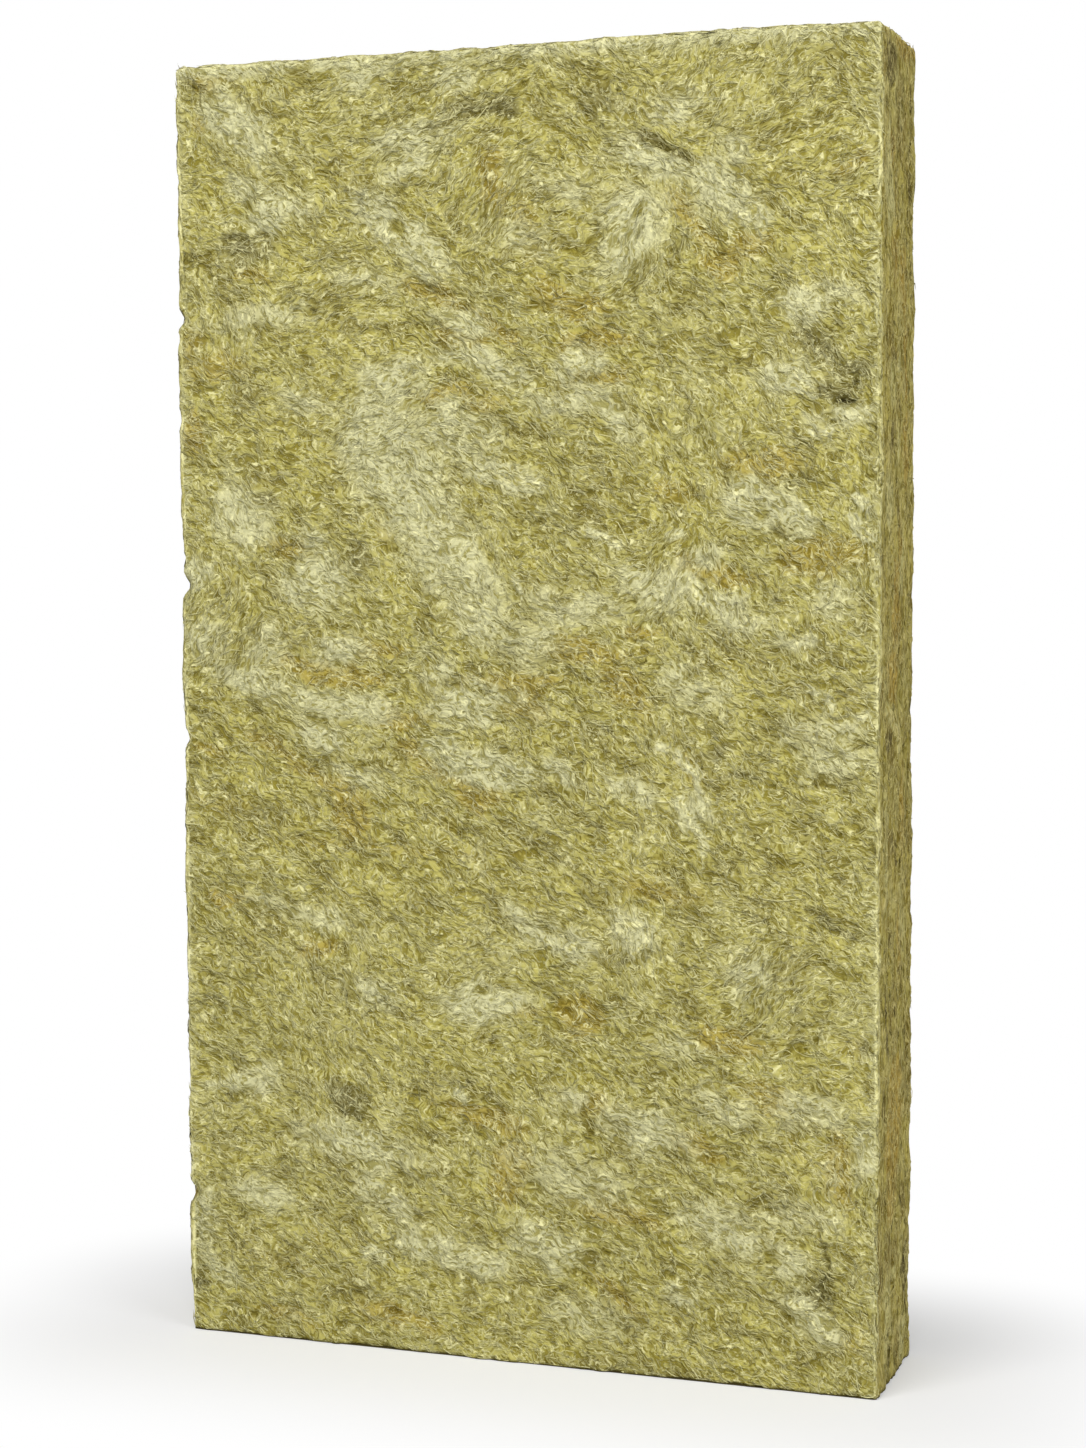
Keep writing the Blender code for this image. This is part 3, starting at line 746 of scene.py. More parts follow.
def skin(maps, plain):
    """Points of the finished skin for points of the plain box, and the values stored there.
    The rounded box sinks by each side's depth, in proportion to how far it faces that side."""
    points, out = round_arrises(plain)
    shares = {
        name: np.clip(side.way * out[:, side.axis], 0, 1) ** 2 for name, side in maps.items()
    }
    values = {
        key: sum(shares[name] * side.read(key, plain) for name, side in maps.items())
        for key in ("depth",) + COLOUR_KEYS
    }
    points = points - out * values.pop("depth")[:, None]
    for name, side in maps.items():
        if name not in FELTED:
            back = (plain[:, 1] - LOW[1]) / (HIGH[1] - LOW[1])
            points[:, side.axis] += side.way * shares[name] * CUT_RISE * (1 - CUT_TAPER * back)
    # A painted contact shadow along the foot, its height following the tufts' tone.
    foot = FOOT_SHADE * (FOOT_LEAST + values["tuft"])
    hollow = np.clip(FOOT_STRENGTH - plain[:, 2] / foot, 0, 1)
    for place, size, depth, way, dark in DENTS:
        away = (((points - np.array(place)) / np.array(size)) ** 2).sum(axis=1)
        push = np.clip(1.0 - away, 0, 1) ** 2
        points = points + (push * depth / np.linalg.norm(way))[:, None] * np.array(way)
        # Painted shade in the dent.
        hollow = np.maximum(hollow, np.clip(dark * push, 0, 1))
    values["hollow"] = hollow
    values["cut"] = np.clip(1.0 - out[:, 1] ** 2, 0, 1) * cut_share(plain)
    points[:, 2] = np.maximum(points[:, 2], LOW[2])
    return points, values


def fill_mesh(mesh, points, face_groups):
    """Puts points and groups of same-sided faces into a mesh, as whole arrays."""
    corners = np.concatenate([group.ravel() for group in face_groups]).astype(np.int32)
    sides = np.concatenate([np.full(len(group), group.shape[1]) for group in face_groups])
    starts = np.concatenate([[0], np.cumsum(sides)[:-1]]).astype(np.int32)
    mesh.vertices.add(len(points))
    mesh.vertices.foreach_set("co", points.astype(np.float32).ravel())
    mesh.loops.add(len(corners))
    mesh.loops.foreach_set("vertex_index", corners)
    mesh.polygons.add(len(sides))
    mesh.polygons.foreach_set("loop_start", starts)
    mesh.update(calc_edges=True)
    mesh.validate()
    mesh.shade_smooth()


def add_values(mesh, values):
    """Stores one number for each vertex under each name."""
    for name, numbers in values.items():
        layer = mesh.attributes.new(name, "FLOAT", "POINT")
        layer.data.foreach_set("value", numbers.astype(np.float32))


def add_map(mesh, places):
    """Stores the piece's own UV map, one place for each corner."""
    layer = mesh.uv_layers.new(name="OFBake")
    layer.uv.foreach_set("vector", places.astype(np.float32).ravel())


def add_piece(name, mesh, material):
    """Puts a mesh into the scene as one piece of the slab, with its material."""
    piece = bpy.data.objects.new(name, mesh)
    bpy.context.scene.collection.objects.link(piece)
    mesh.materials.append(material)
    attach(piece, "root")
    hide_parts("slab")
    return piece


def lines_between(low, high, spacing, round_low, round_high):
    """Positions from low to high at the spacing, with one more line near each rounded end."""
    lines = list(np.linspace(low, high, int(round((high - low) / spacing)) + 1))
    if round_low:
        lines.insert(1, low + ARRIS_RADIUS * ARRIS_LINE)
    if round_high:
        lines.insert(-1, high - ARRIS_RADIUS * ARRIS_LINE)
    return np.array(lines)


def outline_ring(nx, nz):
    """The broad face's outline as a ring of grid places: along the base, up the right, back
    along the top and down the left. The last result names the side after each place."""
    i = np.concatenate([
        np.arange(nx), np.full(nz - 1, nx - 1), np.arange(nx - 2, -1, -1), np.zeros(nz - 2, int)
    ])
    j = np.concatenate([
        np.zeros(nx, int), np.arange(1, nz), np.full(nx - 1, nz - 1), np.arange(nz - 2, 0, -1)
    ])
    sides = np.repeat(["base", "right", "top", "left"], [nx - 1, nz - 1, nx - 1, nz - 1])
    return i, j, sides


def map_layout(depth, broad):
    """Where each side of a layer goes on its UV map: the axes across and up it, its lower left
    corner, and its scale across and up. The last result is the size of the whole map."""
    gap = 0.010
    width, height = (HIGH - LOW)[[0, 2]]
    stretch = 1.0 if broad else 3.0
    start = width + 2 * gap if broad else gap
    wall = depth * stretch + gap
    hidden = 0.02
    layout = {
        "left": (1, 2, start, gap, stretch, 1.0),
        "right": (1, 2, start + wall, gap, stretch, 1.0),
        "base": (1, 0, start + 2 * wall, gap, stretch, 0.8),
        "top": (1, 0, start + 2 * wall, 2 * gap + 0.8 * width, stretch, 0.8),
        "near_joint": (0, 2, start + 3 * wall, gap, hidden, hidden),
        "far_joint": (0, 2, start + 3 * wall, 2 * gap + hidden * height, hidden, hidden),
        "broad": (0, 2, gap, gap, 1.0, 1.0),
    }
    return layout, (start + 3 * wall + hidden * width + gap, height + 2 * gap)


def make_layer(name, maps, low_y, high_y, spacing, material):
    """One closed piece between two planes across the thickness: a wall round its outline, and
    a grid over an end that shows. An end that meets another piece is one flat face."""
    shows = (low_y == LOW[1], high_y == HIGH[1])
    xs = lines_between(LOW[0], HIGH[0], spacing, True, True)
    zs = lines_between(LOW[2], HIGH[2], spacing, True, True)
    ys = lines_between(low_y, high_y, THROUGH_SPACING, *shows)
    i, j, sides = outline_ring(len(xs), len(zs))
    wall = np.zeros((len(ys), len(i), 3))
    wall[:, :, 0], wall[:, :, 1], wall[:, :, 2] = xs[i], ys[:, None], zs[j]
    index = np.arange(len(ys) * len(i)).reshape(len(ys), len(i))
    after = np.roll(index, -1, axis=1)
    points = [wall.reshape(-1, 3)]
    faces = [np.stack([index[:-1], index[1:], after[1:], after[:-1]], -1).reshape(-1, 4)]
    labels = [np.tile(sides, len(ys) - 1)]
    for row, label in ((0, "near_joint"), (-1, "far_joint")):
        cap = index[row][None, :]
        if shows[row]:
            grid = np.zeros((len(xs), len(zs)), int)
            grid[i, j] = index[row]
            x, z = np.meshgrid(xs[1:-1], zs[1:-1], indexing="ij")
            grid[1:-1, 1:-1] = sum(map(len, points)) + np.arange(x.size).reshape(x.shape)
            points.append(np.stack([x, np.full_like(x, ys[row]), z], -1).reshape(-1, 3))
            cap = np.stack([grid[:-1, :-1], grid[1:, :-1], grid[1:, 1:], grid[:-1, 1:]], -1)
            cap = cap.reshape(-1, 4)
            label = "broad"
        faces.append(cap if row == 0 else cap[:, ::-1])
        labels.append(np.full(len(cap), label))
    plain = np.concatenate(points)
    finished, values = skin(maps, plain)
    mesh = bpy.data.meshes.new(name)
    fill_mesh(mesh, finished, faces)
    add_values(mesh, values)
    layout, size = map_layout(high_y - low_y, any(shows))
    origin = np.array([LOW[0], low_y, LOW[2]])
    places = []
    for group, label in zip(faces, labels):
        label = np.repeat(label, group.shape[1])
        corners = plain[group.ravel()] - origin
        uv = np.zeros((len(corners), 2))
        for key in np.unique(label):
            across, up, left, bottom, wide, tall = layout[key]
            chosen = label == key
            uv[chosen, 0] = left + wide * corners[chosen, across]
            uv[chosen, 1] = bottom + tall * corners[chosen, up]
        places.append(uv / size)
    add_map(mesh, np.concatenate(places))
    return add_piece(name, mesh, material)


def fibre_faces(count, stations):
    """Faces of closed three-sided fibres: a fan at each tip and rings of quads between."""
    rings = stations - 2
    per_fibre = 2 + 3 * rings
    turn = np.arange(3)
    following = (turn + 1) % 3
    fan = np.stack([np.zeros(3, int), 1 + following, 1 + turn], -1)
    last = 1 + 3 * (rings - 1)
    end = np.stack([np.full(3, per_fibre - 1), last + turn, last + following], -1)
    bands = []
    for ring in range(rings - 1):
        low, high = 1 + 3 * ring, 4 + 3 * ring
        bands.append(np.stack([low + turn, low + following, high + following, high + turn], -1))
    starts = (np.arange(count) * per_fibre)[:, None, None]
    fans = (starts + np.concatenate([fan, end])[None]).reshape(-1, 3)
    quads = (starts + np.concatenate(bands)[None]).reshape(-1, 4)
    return fans, quads


def fibre_map(count, stations):
    """Places on the fibres' own UV map: each fibre has a square cell of the sheet, with its
    length across the cell and its round up it."""
    cells = math.ceil(math.sqrt(count))
    turn = np.arange(3)
    step = 1.0 / (stations - 1)
    start_u = np.stack([np.zeros(3), np.full(3, step), np.full(3, step)], -1)
    start_v = np.stack([(turn + 0.5) / 3, (turn + 1) / 3, turn / 3], -1)
    end_u = np.stack([np.ones(3), np.full(3, 1 - step), np.full(3, 1 - step)], -1)
    end_v = np.stack([(turn + 0.5) / 3, turn / 3, (turn + 1) / 3], -1)
    fans = np.stack([np.concatenate([start_u, end_u]), np.concatenate([start_v, end_v])], -1)
    bands = []
    for ring in range(stations - 3):
        low, high = (ring + 1) * step, (ring + 2) * step
        u = np.tile([low, low, high, high], (3, 1))
        v = np.stack([turn / 3, (turn + 1) / 3, (turn + 1) / 3, turn / 3], -1)
        bands.append(np.stack([u, v], -1))
    number = np.arange(count)
    corner = np.stack([number % cells, number // cells], -1)[:, None, None, :]
    margin = 0.12
    spread = 1 - 2 * margin
    return np.concatenate([
        (corner + margin + spread * places[None]).reshape(-1, 2) / cells
        for places in (fans, np.concatenate(bands))
    ])


def fibre_path(maps, side, middle, angle, length, lift, draw, stations):
    """Middle lines of fibres: a straight run along the angle, bent sideways by a parabola and
    one full sine, laid on the skin, and raised by half a sine with both tips pushed under it.
    A few have their far end flicked up by the cube of the way along."""
    count = len(middle)
    t = np.linspace(0.0, 1.0, stations)[None, :]
    bow, wave = (size * draw.normal(0, 1, count)[:, None] for size in CURVE)
    run = (t - 0.5) * length[:, None]
    aside = length[:, None] * (bow * 4 * t * (1 - t) + wave * np.sin(2 * np.pi * t))
    cosine, sine = np.cos(angle)[:, None], np.sin(angle)[:, None]
    plain = np.zeros((count, stations, 3))
    plain[:, :, side.axis] = HIGH[side.axis] if side.way > 0 else LOW[side.axis]
    plain[:, :, side.first] = middle[:, :1] + run * cosine - aside * sine
    plain[:, :, side.second] = middle[:, 1:] + run * sine + aside * cosine
    held = np.clip(plain, LOW, HIGH)
    places = skin(maps, held.reshape(-1, 3))[0].reshape(plain.shape) + OVERHANG * (plain - held)
    rise = (lift[:, None] + FIBRE_ROOT) * np.sin(np.pi * t) ** 0.7 - FIBRE_ROOT
    flick = FLICK * np.clip(draw.normal(-0.6, 1.0, count), 0, 2.5)[:, None]
    places[:, :, side.axis] += side.way * (rise + flick * t**3)
    return places


def fibre_skin(path, width, side):
    """Points of three-sided fibres round their middle lines: each ring is a flattened triangle
    in the plane of the sideways and upward directions, and its size follows half a sine."""
    count, stations, _ = path.shape
    along = np.gradient(path, axis=1)
    along /= np.linalg.norm(along, axis=2, keepdims=True) + TINY
    out = side.way * np.eye(3)[side.axis]
    aside = np.cross(np.broadcast_to(out, along.shape), along)
    aside /= np.linalg.norm(aside, axis=2, keepdims=True) + TINY
    upward = np.cross(along, aside)
    t = np.linspace(0.0, 1.0, stations)[1:-1]
    radius = width[:, None] / 2 * np.sin(np.pi * t)[None, :] ** 0.6
    rings = []
    for corner in range(3):
        turn = 2 * np.pi * corner / 3 + np.pi / 2
        raised = FIBRE_FLATNESS * math.sin(turn)
        offset = math.cos(turn) * aside[:, 1:-1] + raised * upward[:, 1:-1]
        rings.append(path[:, 1:-1] + radius[:, :, None] * offset)
    rings = np.stack(rings, axis=2).reshape(count, -1, 3)
    return np.concatenate([path[:, :1], rings, path[:, -1:]], axis=1).reshape(-1, 3)


def lay_fibres(name, maps, material):
    """One piece of many loose fibres, shared out between some sides of the slab."""
    shares, count, stations, length, width, lift, spread, seed = FIBRE_SETS[name]
    draw = np.random.default_rng(seed)
    per_fibre = 2 + 3 * (stations - 2)
    counts = [int(round(count * share)) for share in shares.values()]
    counts[0] += count - sum(counts)
    points = []
    values = {key: [] for key in COLOUR_KEYS + ("cut", "tone")}
    outward = []
    for side_name, number in zip(shares, counts):
        side = maps[side_name]
        middle = side.low + side.span * draw.uniform(0, 1, (number, 2))
        place = np.zeros((number, 3))
        place[:, [side.first, side.second]] = middle
        angle = side.read("grain", place) + draw.normal(0.0, spread, number)
        size = length * draw.lognormal(0.0, LENGTH_SPREAD, number)
        raised = lift * draw.lognormal(0.0, LIFT_SPREAD, number)
        path = fibre_path(maps, side, middle, angle, size, raised, draw, stations)
        path[:, :, 2] = np.maximum(path[:, :, 2], LOW[2] + width)
        points.append(fibre_skin(path, width * draw.uniform(*WIDTH_RANGE, number), side))
        for key in COLOUR_KEYS:
            values[key].append(side.read(key, place))
        values["cut"].append(0.0 * angle if side_name in FELTED else cut_share(place))
        # Each fibre's random tone, which later blends it towards the painted highlight colour.
        values["tone"].append(draw.uniform(0, 1, number) ** TONE_BIAS)
        outward.append(np.tile(side.way * np.eye(3)[side.axis], (number * per_fibre, 1)))
    mesh = bpy.data.meshes.new(name)
    fill_mesh(mesh, np.concatenate(points), fibre_faces(count, stations))
    add_values(mesh, {
        key: np.repeat(np.concatenate(blocks), per_fibre) for key, blocks in values.items()
    })
    layer = mesh.attributes.new("outward", "FLOAT_VECTOR", "POINT")
    layer.data.foreach_set("vector", np.concatenate(outward).astype(np.float32).ravel())
    add_map(mesh, fibre_map(count, stations))
    return add_piece(name, mesh, material)


class Nodes:
    """A short way to write a node tree: add a node, set its values and link its inputs."""

    def __init__(self, tree):
        self.tree = tree

    def add(self, kind, settings=None, **inputs):
        node = self.tree.nodes.new(kind)
        for name, value in (settings or {}).items():
            setattr(node, name, value)
        for name, value in inputs.items():
            socket = self.socket(node, name)
            if isinstance(value, bpy.types.NodeSocket):
                self.tree.links.new(value, socket)
            else:
                socket.default_value = value
        return node

    @staticmethod
    def socket(node, name):
        if name.startswith("_"):
            return node.inputs[int(name[1:])]
        return node.inputs[name.replace("_", " ")]

    def math(self, operation, a, b=0.0):
        return self.add("ShaderNodeMath", {"operation": operation}, _0=a, _1=b).outputs[0]

    def vector(self, operation, a, b):
        return self.add("ShaderNodeVectorMath", {"operation": operation}, _0=a, _1=b).outputs[0]

    def blend(self, amount, a, b, kind="MIX"):
        settings = {"data_type": "RGBA", "blend_type": kind, "clamp_factor": True}
        return self.add("ShaderNodeMix", settings, _0=amount, _6=a, _7=b).outputs[2]

    def ramp(self, value, low, high):
        """Turns low into 0 and high into 1, with soft ends."""
        settings = {"interpolation_type": "SMOOTHSTEP"}
        node = self.add("ShaderNodeMapRange", settings, Value=value, From_Min=low, From_Max=high)
        return node.outputs["Result"]

    def attribute(self, name):
        return self.add("ShaderNodeAttribute", {"attribute_name": name}).outputs["Fac"]

    def noise(self, vector, scale, detail=3.0, rough=0.55, distortion=0.0):
        return self.add(
            "ShaderNodeTexNoise", Vector=vector, Scale=scale, Detail=detail,
            Roughness=rough, Distortion=distortion,
        )


def new_group(name, inputs, outputs):
    """An empty node group with the sockets given, and its input and output nodes."""
    tree = bpy.data.node_groups.new(name, "ShaderNodeTree")
    for socket, kind in inputs:
        tree.interface.new_socket(socket, in_out="INPUT", socket_type=kind)
    for socket, kind in outputs:
        tree.interface.new_socket(socket, in_out="OUTPUT", socket_type=kind)
    nodes = Nodes(tree)
    return nodes, nodes.add("NodeGroupInput"), nodes.add("NodeGroupOutput")


def comb_group():
    """Combed wool: noise drawn out along four slants, blended by how near the flow is to each.
    The flow comes as the cosine and sine of its doubled slant, so that the squares of their
    positive parts are shares that add up to one."""
    nodes, given, out = new_group(
        "combed_wool",
        (
            ("Vector", "NodeSocketVector"),
            ("Flow Cosine", "NodeSocketFloat"),
            ("Flow Sine", "NodeSocketFloat"),
            ("Squeeze", "NodeSocketVector"),
            ("Detail", "NodeSocketFloat"),
        ),
        (("Comb", "NodeSocketFloat"),),
    )
    total = 0.0
    for number, slant in enumerate(math.radians(degrees) for degrees in COMB_SLANTS):
        turned = nodes.add(
            "ShaderNodeVectorRotate", {"rotation_type": "EULER_XYZ"},
            Vector=given.outputs["Vector"], Rotation=(0.0, slant, 0.0),
        )
        drawn = nodes.vector("MULTIPLY", turned.outputs[0], given.outputs["Squeeze"])
        shifted = nodes.vector("ADD", drawn, (17.3 * number, 0.0, 0.0))
        wool = nodes.add(
            "ShaderNodeTexNoise", Vector=shifted, Scale=1.0, Roughness=0.55,
            Detail=given.outputs["Detail"],
        )
        near = nodes.math("ADD",
            nodes.math("MULTIPLY", given.outputs["Flow Cosine"], math.cos(2 * slant)),
            nodes.math("MULTIPLY", given.outputs["Flow Sine"], math.sin(2 * slant)),
        )
        near = nodes.math("MAXIMUM", near, 0.0)
        share = nodes.math("MULTIPLY", near, near)
        centred = nodes.math("SUBTRACT", wool.outputs["Fac"], 0.5)
        total = nodes.math("ADD", total, nodes.math("MULTIPLY", share, centred))
    nodes.tree.links.new(total, out.inputs["Comb"])
    return nodes.tree


def wool_group(comb):
    """Colour and height of the wool. Olive is blended towards straw by slow noise and towards
    deep olive in the broad comb's gaps, then towards ochre, pale and grey where the fields,
    roughened by noise, pass their edges. Each of these has a browner twin for a cut edge. The
    pale field also carries painted highlights, and past the highlight edge it takes the painted
    highlight colour; the grey field also carries painted shade along the valleys. The arrises
    get a painted highlight of pale. Two finer combs paint shade into their gaps, paint
    highlights on thin strands and make the height, and painted crease shade darkens what lies
    low last. The Lit output is the colour blended towards the painted highlight colour."""
    nodes, given, out = new_group(
        "wool_colour",
        (("Vector", "NodeSocketVector"),) + tuple(
            (socket_name(key), "NodeSocketFloat") for key in COLOUR_KEYS + ("cut",)
        ),
        (("Color", "NodeSocketColor"), ("Height", "NodeSocketFloat"), ("Lit", "NodeSocketColor")),
    )
    place = given.outputs["Vector"]
    moved = place
    for scale, reach in COMB_WANDER:
        pushed = nodes.noise(place, scale, 1.0).outputs["Color"]
        centred = nodes.vector("SUBTRACT", pushed, (0.5, 0.5, 0.5))
        moved = nodes.vector("ADD", moved, nodes.vector("MULTIPLY", centred, (reach,) * 3))
    cut = given.outputs["Cut"]
    beyond = nodes.math("GREATER_THAN", cut, 0.5)

    def on_cut(place, scales):
        drawn = nodes.vector("MULTIPLY", place, scales)
        mixed = nodes.add("ShaderNodeMix", {"data_type": "VECTOR"}, _0=beyond, _4=place, _5=drawn)
        return mixed.outputs[1]

    grained = on_cut(moved, CUT_GRAIN)
    combed = on_cut(moved, CUT_COMB)
    slow = nodes.noise(place, *SLOW_NOISE).outputs["Fac"]
    small = nodes.noise(grained, *SMALL_NOISE).outputs["Fac"]
    combs = []
    for scale, stretch, detail in (BROAD_COMB, COARSE_COMB, FINE_COMB):
        combs.append(nodes.add(
            "ShaderNodeGroup", {"node_tree": comb}, Vector=combed, Detail=detail,
            Flow_Cosine=given.outputs["Flow Cosine"], Flow_Sine=given.outputs["Flow Sine"],
            Squeeze=(scale / stretch, scale, scale),
        ).outputs["Comb"])
    broad, coarse, fine = combs
    centred = nodes.math("SUBTRACT", small, 0.5)
    rough = nodes.math(
        "ADD", *(nodes.math("MULTIPLY", *pair) for pair in zip((broad, centred), PATCH_ROUGHNESS))
    )

    def blend_patch(colour, field, edge, felted, cut_edge):
        passed = nodes.ramp(nodes.math("ADD", given.outputs[field], rough), *edge)
        return nodes.blend(passed, colour, nodes.blend(cut, felted, cut_edge))

    olive = nodes.blend(cut, OLIVE, CUT_OLIVE)
    straw = nodes.blend(cut, STRAW, CUT_STRAW)
    deep = nodes.blend(cut, DEEP_OLIVE, CUT_BROWN)
    # The painted highlight colour, with a browner twin for a cut edge.
    highlight_colour = nodes.blend(cut, LIT_FELT, LIT_CUT)
    colour = nodes.blend(nodes.ramp(slow, *STRAW_EDGE), olive, straw)
    colour = nodes.blend(nodes.ramp(broad, *DEEP_EDGE), colour, deep)
    colour = blend_patch(colour, "Ochre", OCHRE_EDGE, OCHRE, CUT_OCHRE)
    colour = blend_patch(colour, "Pale", PALE_EDGE, PALE, CUT_PALE)
    # Past the highlight edge the pale field takes the painted highlight colour: on raised lips and
    # along the top edge.
    colour = nodes.blend(nodes.ramp(given.outputs["Pale"], *HIGHLIGHT_EDGE), colour, highlight_colour)
    tuft_pale = nodes.math("MULTIPLY", given.outputs["Tuft"], TUFT_PALE)
    colour = nodes.blend(tuft_pale, colour, PALE)
    # Grey stains, and painted shade along the valleys.
    colour = blend_patch(colour, "Grey", GREY_EDGE, GREY, CUT_DARK)
    # Painted highlight and painted shade: the colour blended towards the highlight colour, and the
    # colour multiplied by the shade colour.
    lit = nodes.blend(LIT_SHARE, colour, highlight_colour)
    shaded = nodes.blend(1.0, colour, SHADE, "MULTIPLY")

    # Painted highlight of pale along the rounded arrises.
    arris = nodes.math("MULTIPLY", cut, nodes.math("SUBTRACT", 1.0, cut))
    arris = nodes.math("MULTIPLY", nodes.ramp(arris, *ARRIS_EDGE), ARRIS_HIGHLIGHT)
    colour = nodes.blend(arris, colour, PALE)
    # Painted shade in the gaps of the coarse and the fine comb.
    coarse_gap = nodes.math("MULTIPLY", nodes.ramp(coarse, *COARSE_GAP), COARSE_SHARE)
    colour = nodes.blend(coarse_gap, colour, shaded)
    colour = nodes.blend(nodes.ramp(fine, *FINE_GAP), colour, shaded)
    # Painted highlights on thin strands along the middle of the combs.
    strands = [
        nodes.ramp(nodes.math("ABSOLUTE", comb), width, 0.0)
        for comb, width in zip((coarse, fine), STRAND_WIDTHS)
    ]
    strand = nodes.math("MAXIMUM", *strands)
    strand = nodes.math("MULTIPLY", strand, nodes.ramp(small, *STRAND_PLACES))
    colour = nodes.blend(strand, colour, lit)
    # Painted crease shade where the skin lies low.
    creased = nodes.blend(1.0, colour, CREASE_SHADE, "MULTIPLY")
    colour = nodes.blend(nodes.ramp(given.outputs["Low"], *CREASE_EDGE), colour, creased)
    height = 0.0
    for ridge, rise in zip((coarse, fine, strand), RIDGE_HEIGHTS):
        height = nodes.math("ADD", height, nodes.math("MULTIPLY", ridge, rise))
    nodes.tree.links.new(colour, out.inputs["Color"])
    nodes.tree.links.new(height, out.inputs["Height"])
    nodes.tree.links.new(lit, out.inputs["Lit"])
    return nodes.tree


def socket_name(key):
    """The name of the socket that takes a stored value."""
    return key.replace("_", " ").title()


def wool_material(name, group, loose):
    """The slab's skin, which takes painted shade at its foot and in its dents, or the loose fibres
    on it, which take their own lightness as well: a random tone that blends them towards the painted
    highlight colour.
    """
    material = bpy.data.materials.new(name)
    material.use_nodes = True
    nodes = Nodes(material.node_tree)
    shader = material.node_tree.nodes["Principled BSDF"]
    place = nodes.add("ShaderNodeTexCoord").outputs["Object"]
    fields = {socket_name(key): nodes.attribute(key) for key in COLOUR_KEYS + ("cut",)}
    wool = nodes.add("ShaderNodeGroup", {"node_tree": group}, Vector=place, **fields)
    colour = wool.outputs["Color"]
    links = material.node_tree.links
    if loose:
        # A fibre's random tone blends it towards the painted highlight colour.
        colour = nodes.blend(nodes.attribute("tone"), colour, wool.outputs["Lit"])
    else:
        # Painted shade on the skin: a contact shadow at the foot and shade in the dents.
        hollow = nodes.blend(1.0, colour, HOLLOW_SHADE, "MULTIPLY")
        colour = nodes.blend(nodes.attribute("hollow"), colour, hollow)
    bump = nodes.add(
        "ShaderNodeBump", Strength=1.0, Distance=BUMP_HEIGHT, Height=wool.outputs["Height"]
    )
    if loose:
        lying = nodes.add("ShaderNodeAttribute", {"attribute_name": "outward"}).outputs["Vector"]
        lying = nodes.vector("MULTIPLY", lying, (FIBRE_SOFTNESS,) * 3)
        own = nodes.add("ShaderNodeNewGeometry").outputs["Normal"]
        own = nodes.vector("MULTIPLY", own, (1.0 - FIBRE_SOFTNESS,) * 3)
        softened = nodes.vector("ADD", own, lying)
        softened = nodes.vector("NORMALIZE", softened, (0.0, 0.0, 0.0))
        links.new(softened, bump.inputs["Normal"])
    links.new(bump.outputs["Normal"], shader.inputs["Normal"])
    links.new(colour, shader.inputs["Base Color"])
    shader.inputs["Roughness"].default_value = 0.92
    shader.inputs["Specular IOR Level"].default_value = 0.15
    return material


def add_lamp(name, place, size, power):
    """An oblong soft lamp, turned towards the middle of the slab."""
    lamp = bpy.data.lights.new(name, "AREA")
    lamp.shape = "RECTANGLE"
    lamp.size, lamp.size_y = size
    lamp.energy = power
    holder = bpy.data.objects.new(name, lamp)
    holder.location = place
    heading = Vector(LAMP_AIM) - Vector(place)
    holder.rotation_euler = heading.to_track_quat("-Z", "Y").to_euler()
    bpy.context.scene.collection.objects.link(holder)


def light_studio():
    """A white room that lights the slab more weakly than it looks, and two soft lamps."""
    world = bpy.data.worlds.new("studio")
    bpy.context.scene.world = world
    world.use_nodes = True
    world.node_tree.nodes.clear()
    nodes = Nodes(world.node_tree)
    rays = nodes.add("ShaderNodeLightPath")
    seen = nodes.math("MAXIMUM", rays.outputs["Is Camera Ray"], rays.outputs["Is Glossy Ray"])
    seen = nodes.math("MAXIMUM", seen, rays.outputs["Is Transmission Ray"])
    strength = nodes.math("ADD", nodes.math("MULTIPLY", seen, 1.0 - ROOM_LIGHT), ROOM_LIGHT)
    background = nodes.add("ShaderNodeBackground", Color=(1.0, 1.0, 1.0, 1.0), Strength=strength)
    output = nodes.add("ShaderNodeOutputWorld")
    world.node_tree.links.new(background.outputs[0], output.inputs["Surface"])
    add_lamp("key_lamp", *KEY_LAMP)
    add_lamp("side_lamp", *SIDE_LAMP)


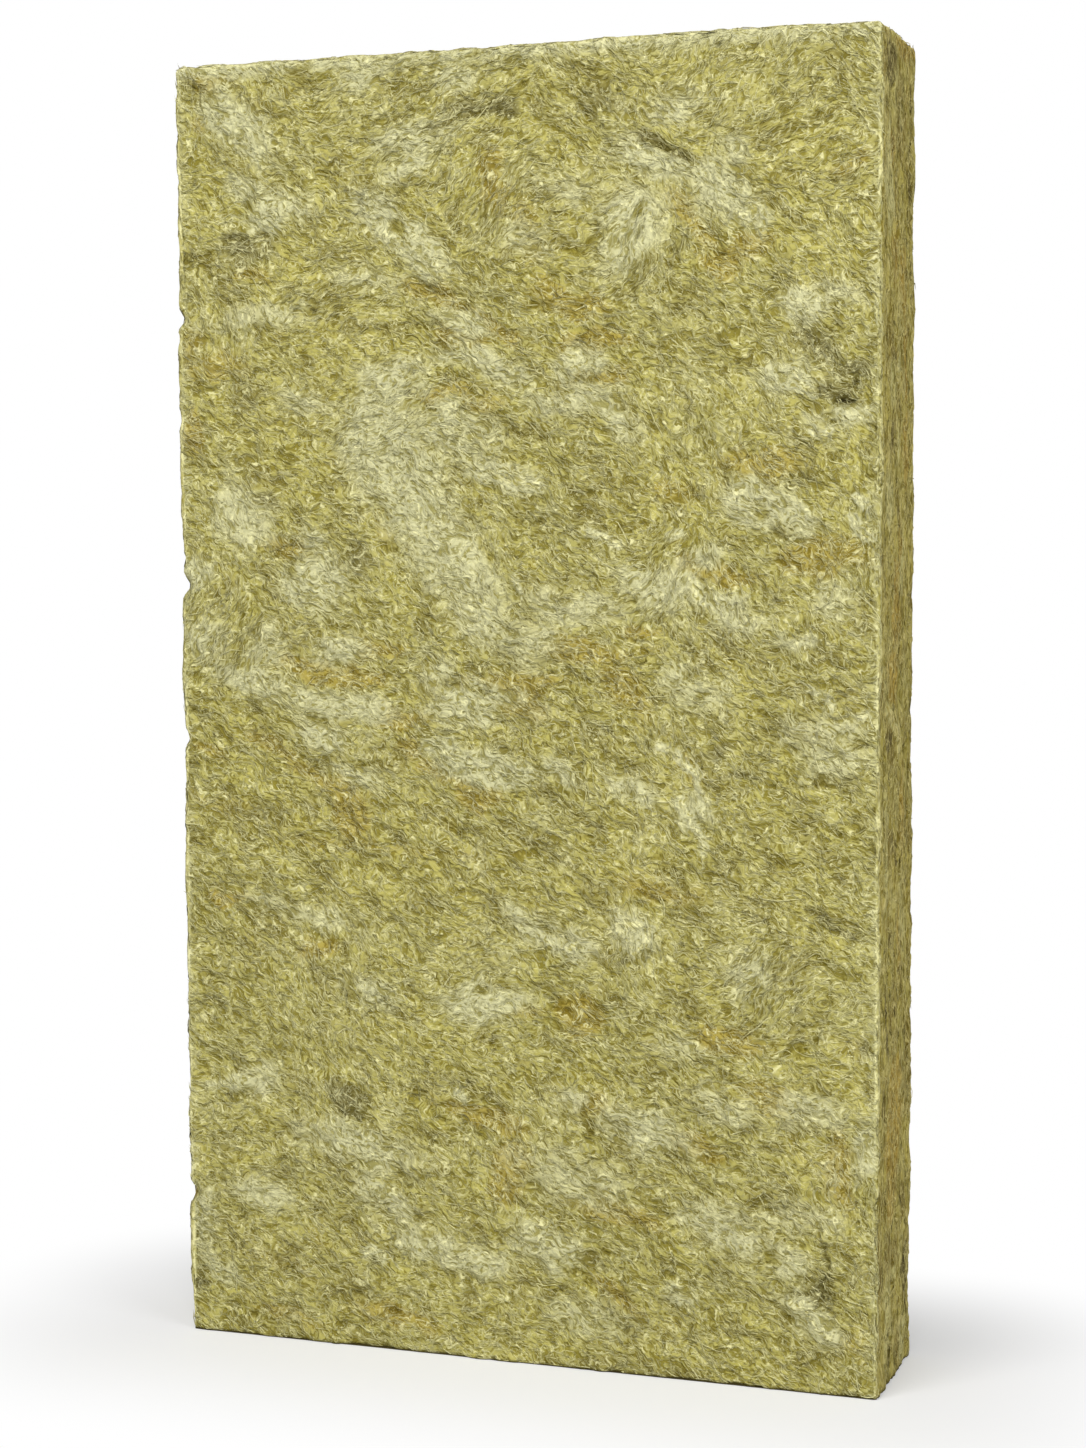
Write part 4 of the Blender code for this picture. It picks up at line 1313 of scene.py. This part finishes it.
def make_floor():
    """A pale floor that keeps the slab's shadow and fades into the white room behind. It is
    mostly an even glow to the camera, and plain to the light that it throws back."""
    mesh = bpy.data.meshes.new("floor")
    half = FLOOR_SIZE / 2
    corners = [(x * half, y * half, FLOOR_LEVEL) for x, y in ((-1, -1), (1, -1), (1, 1), (-1, 1))]
    mesh.from_pydata(corners, [], [(0, 1, 2, 3)])
    floor = bpy.data.objects.new("floor", mesh)
    bpy.context.scene.collection.objects.link(floor)
    material = bpy.data.materials.new("studio_floor")
    material.use_nodes = True
    tree = material.node_tree
    nodes = Nodes(tree)
    shader = tree.nodes["Principled BSDF"]
    shader.inputs["Base Color"].default_value = FLOOR_COLOUR
    shader.inputs["Roughness"].default_value = 0.8
    shader.inputs["Specular IOR Level"].default_value = 0.1
    place = nodes.add("ShaderNodeTexCoord").outputs["Object"]
    aside = nodes.vector("SUBTRACT", nodes.vector("ABSOLUTE", place, (0, 0, 0)), tuple(HIGH))
    aside = nodes.vector("MAXIMUM", aside, (0.0, 0.0, 0.0))
    away = nodes.add("ShaderNodeVectorMath", {"operation": "LENGTH"}, _0=aside).outputs["Value"]
    fade = nodes.ramp(away, *FLOOR_FADE)
    share, strength = (
        nodes.math("ADD", nodes.math("MULTIPLY", fade, 1.0 - near), near) for near in FLOOR_GLOW
    )
    rays = nodes.add("ShaderNodeLightPath")
    seen = nodes.math("MAXIMUM", rays.outputs["Is Camera Ray"], rays.outputs["Is Glossy Ray"])
    white = nodes.add("ShaderNodeEmission", Color=(1.0, 1.0, 1.0, 1.0), Strength=strength)
    blend = nodes.add(
        "ShaderNodeMixShader", _0=nodes.math("MULTIPLY", share, seen),
        _1=shader.outputs[0], _2=white.outputs[0],
    )
    tree.links.new(blend.outputs[0], tree.nodes["Material Output"].inputs["Surface"])
    mesh.materials.append(material)


def place_camera():
    """The photograph's view: turned about Z, tilted, then rolled about its own axis."""
    ahead = Vector((
        math.sin(CAMERA_TURN) * math.cos(CAMERA_TILT),
        math.cos(CAMERA_TURN) * math.cos(CAMERA_TILT),
        math.sin(CAMERA_TILT),
    ))
    level = Vector((math.cos(CAMERA_TURN), -math.sin(CAMERA_TURN), 0.0))
    upright = level.cross(ahead)
    right = level * math.cos(CAMERA_ROLL) + upright * math.sin(CAMERA_ROLL)
    up = upright * math.cos(CAMERA_ROLL) - level * math.sin(CAMERA_ROLL)
    lens = bpy.data.cameras.new("photo_camera")
    lens.sensor_width = SENSOR
    lens.lens = FOCAL_PIXELS * SENSOR / max(PHOTO_SIZE)
    camera = bpy.data.objects.new("photo_camera", lens)
    turn = Matrix((right, up, -ahead)).transposed().to_4x4()
    camera.matrix_world = Matrix.Translation(CAMERA_PLACE) @ turn
    bpy.context.scene.collection.objects.link(camera)
    bpy.context.scene.camera = camera


def main():
    wool = wool_group(comb_group())
    skin_wool = wool_material("felted_wool", wool, loose=False)
    loose_wool = wool_material("loose_fibres", wool, loose=True)
    maps = {name: draw_side(name, number) for number, name in enumerate(SIDES, 1)}
    near, far = LOW[1] + LAYER, HIGH[1] - LAYER
    make_layer("front_layer", maps, LOW[1], near, FRONT_SPACING, skin_wool)
    make_layer("middle_layers", maps, near, far, MIDDLE_SPACING, skin_wool)
    make_layer("back_layer", maps, far, HIGH[1], BACK_SPACING, skin_wool)
    for name in FIBRE_SETS:
        lay_fibres(name, maps, loose_wool)
    make_floor()
    light_studio()
    place_camera()
    bpy.context.scene.view_settings.view_transform = "Standard"


main()
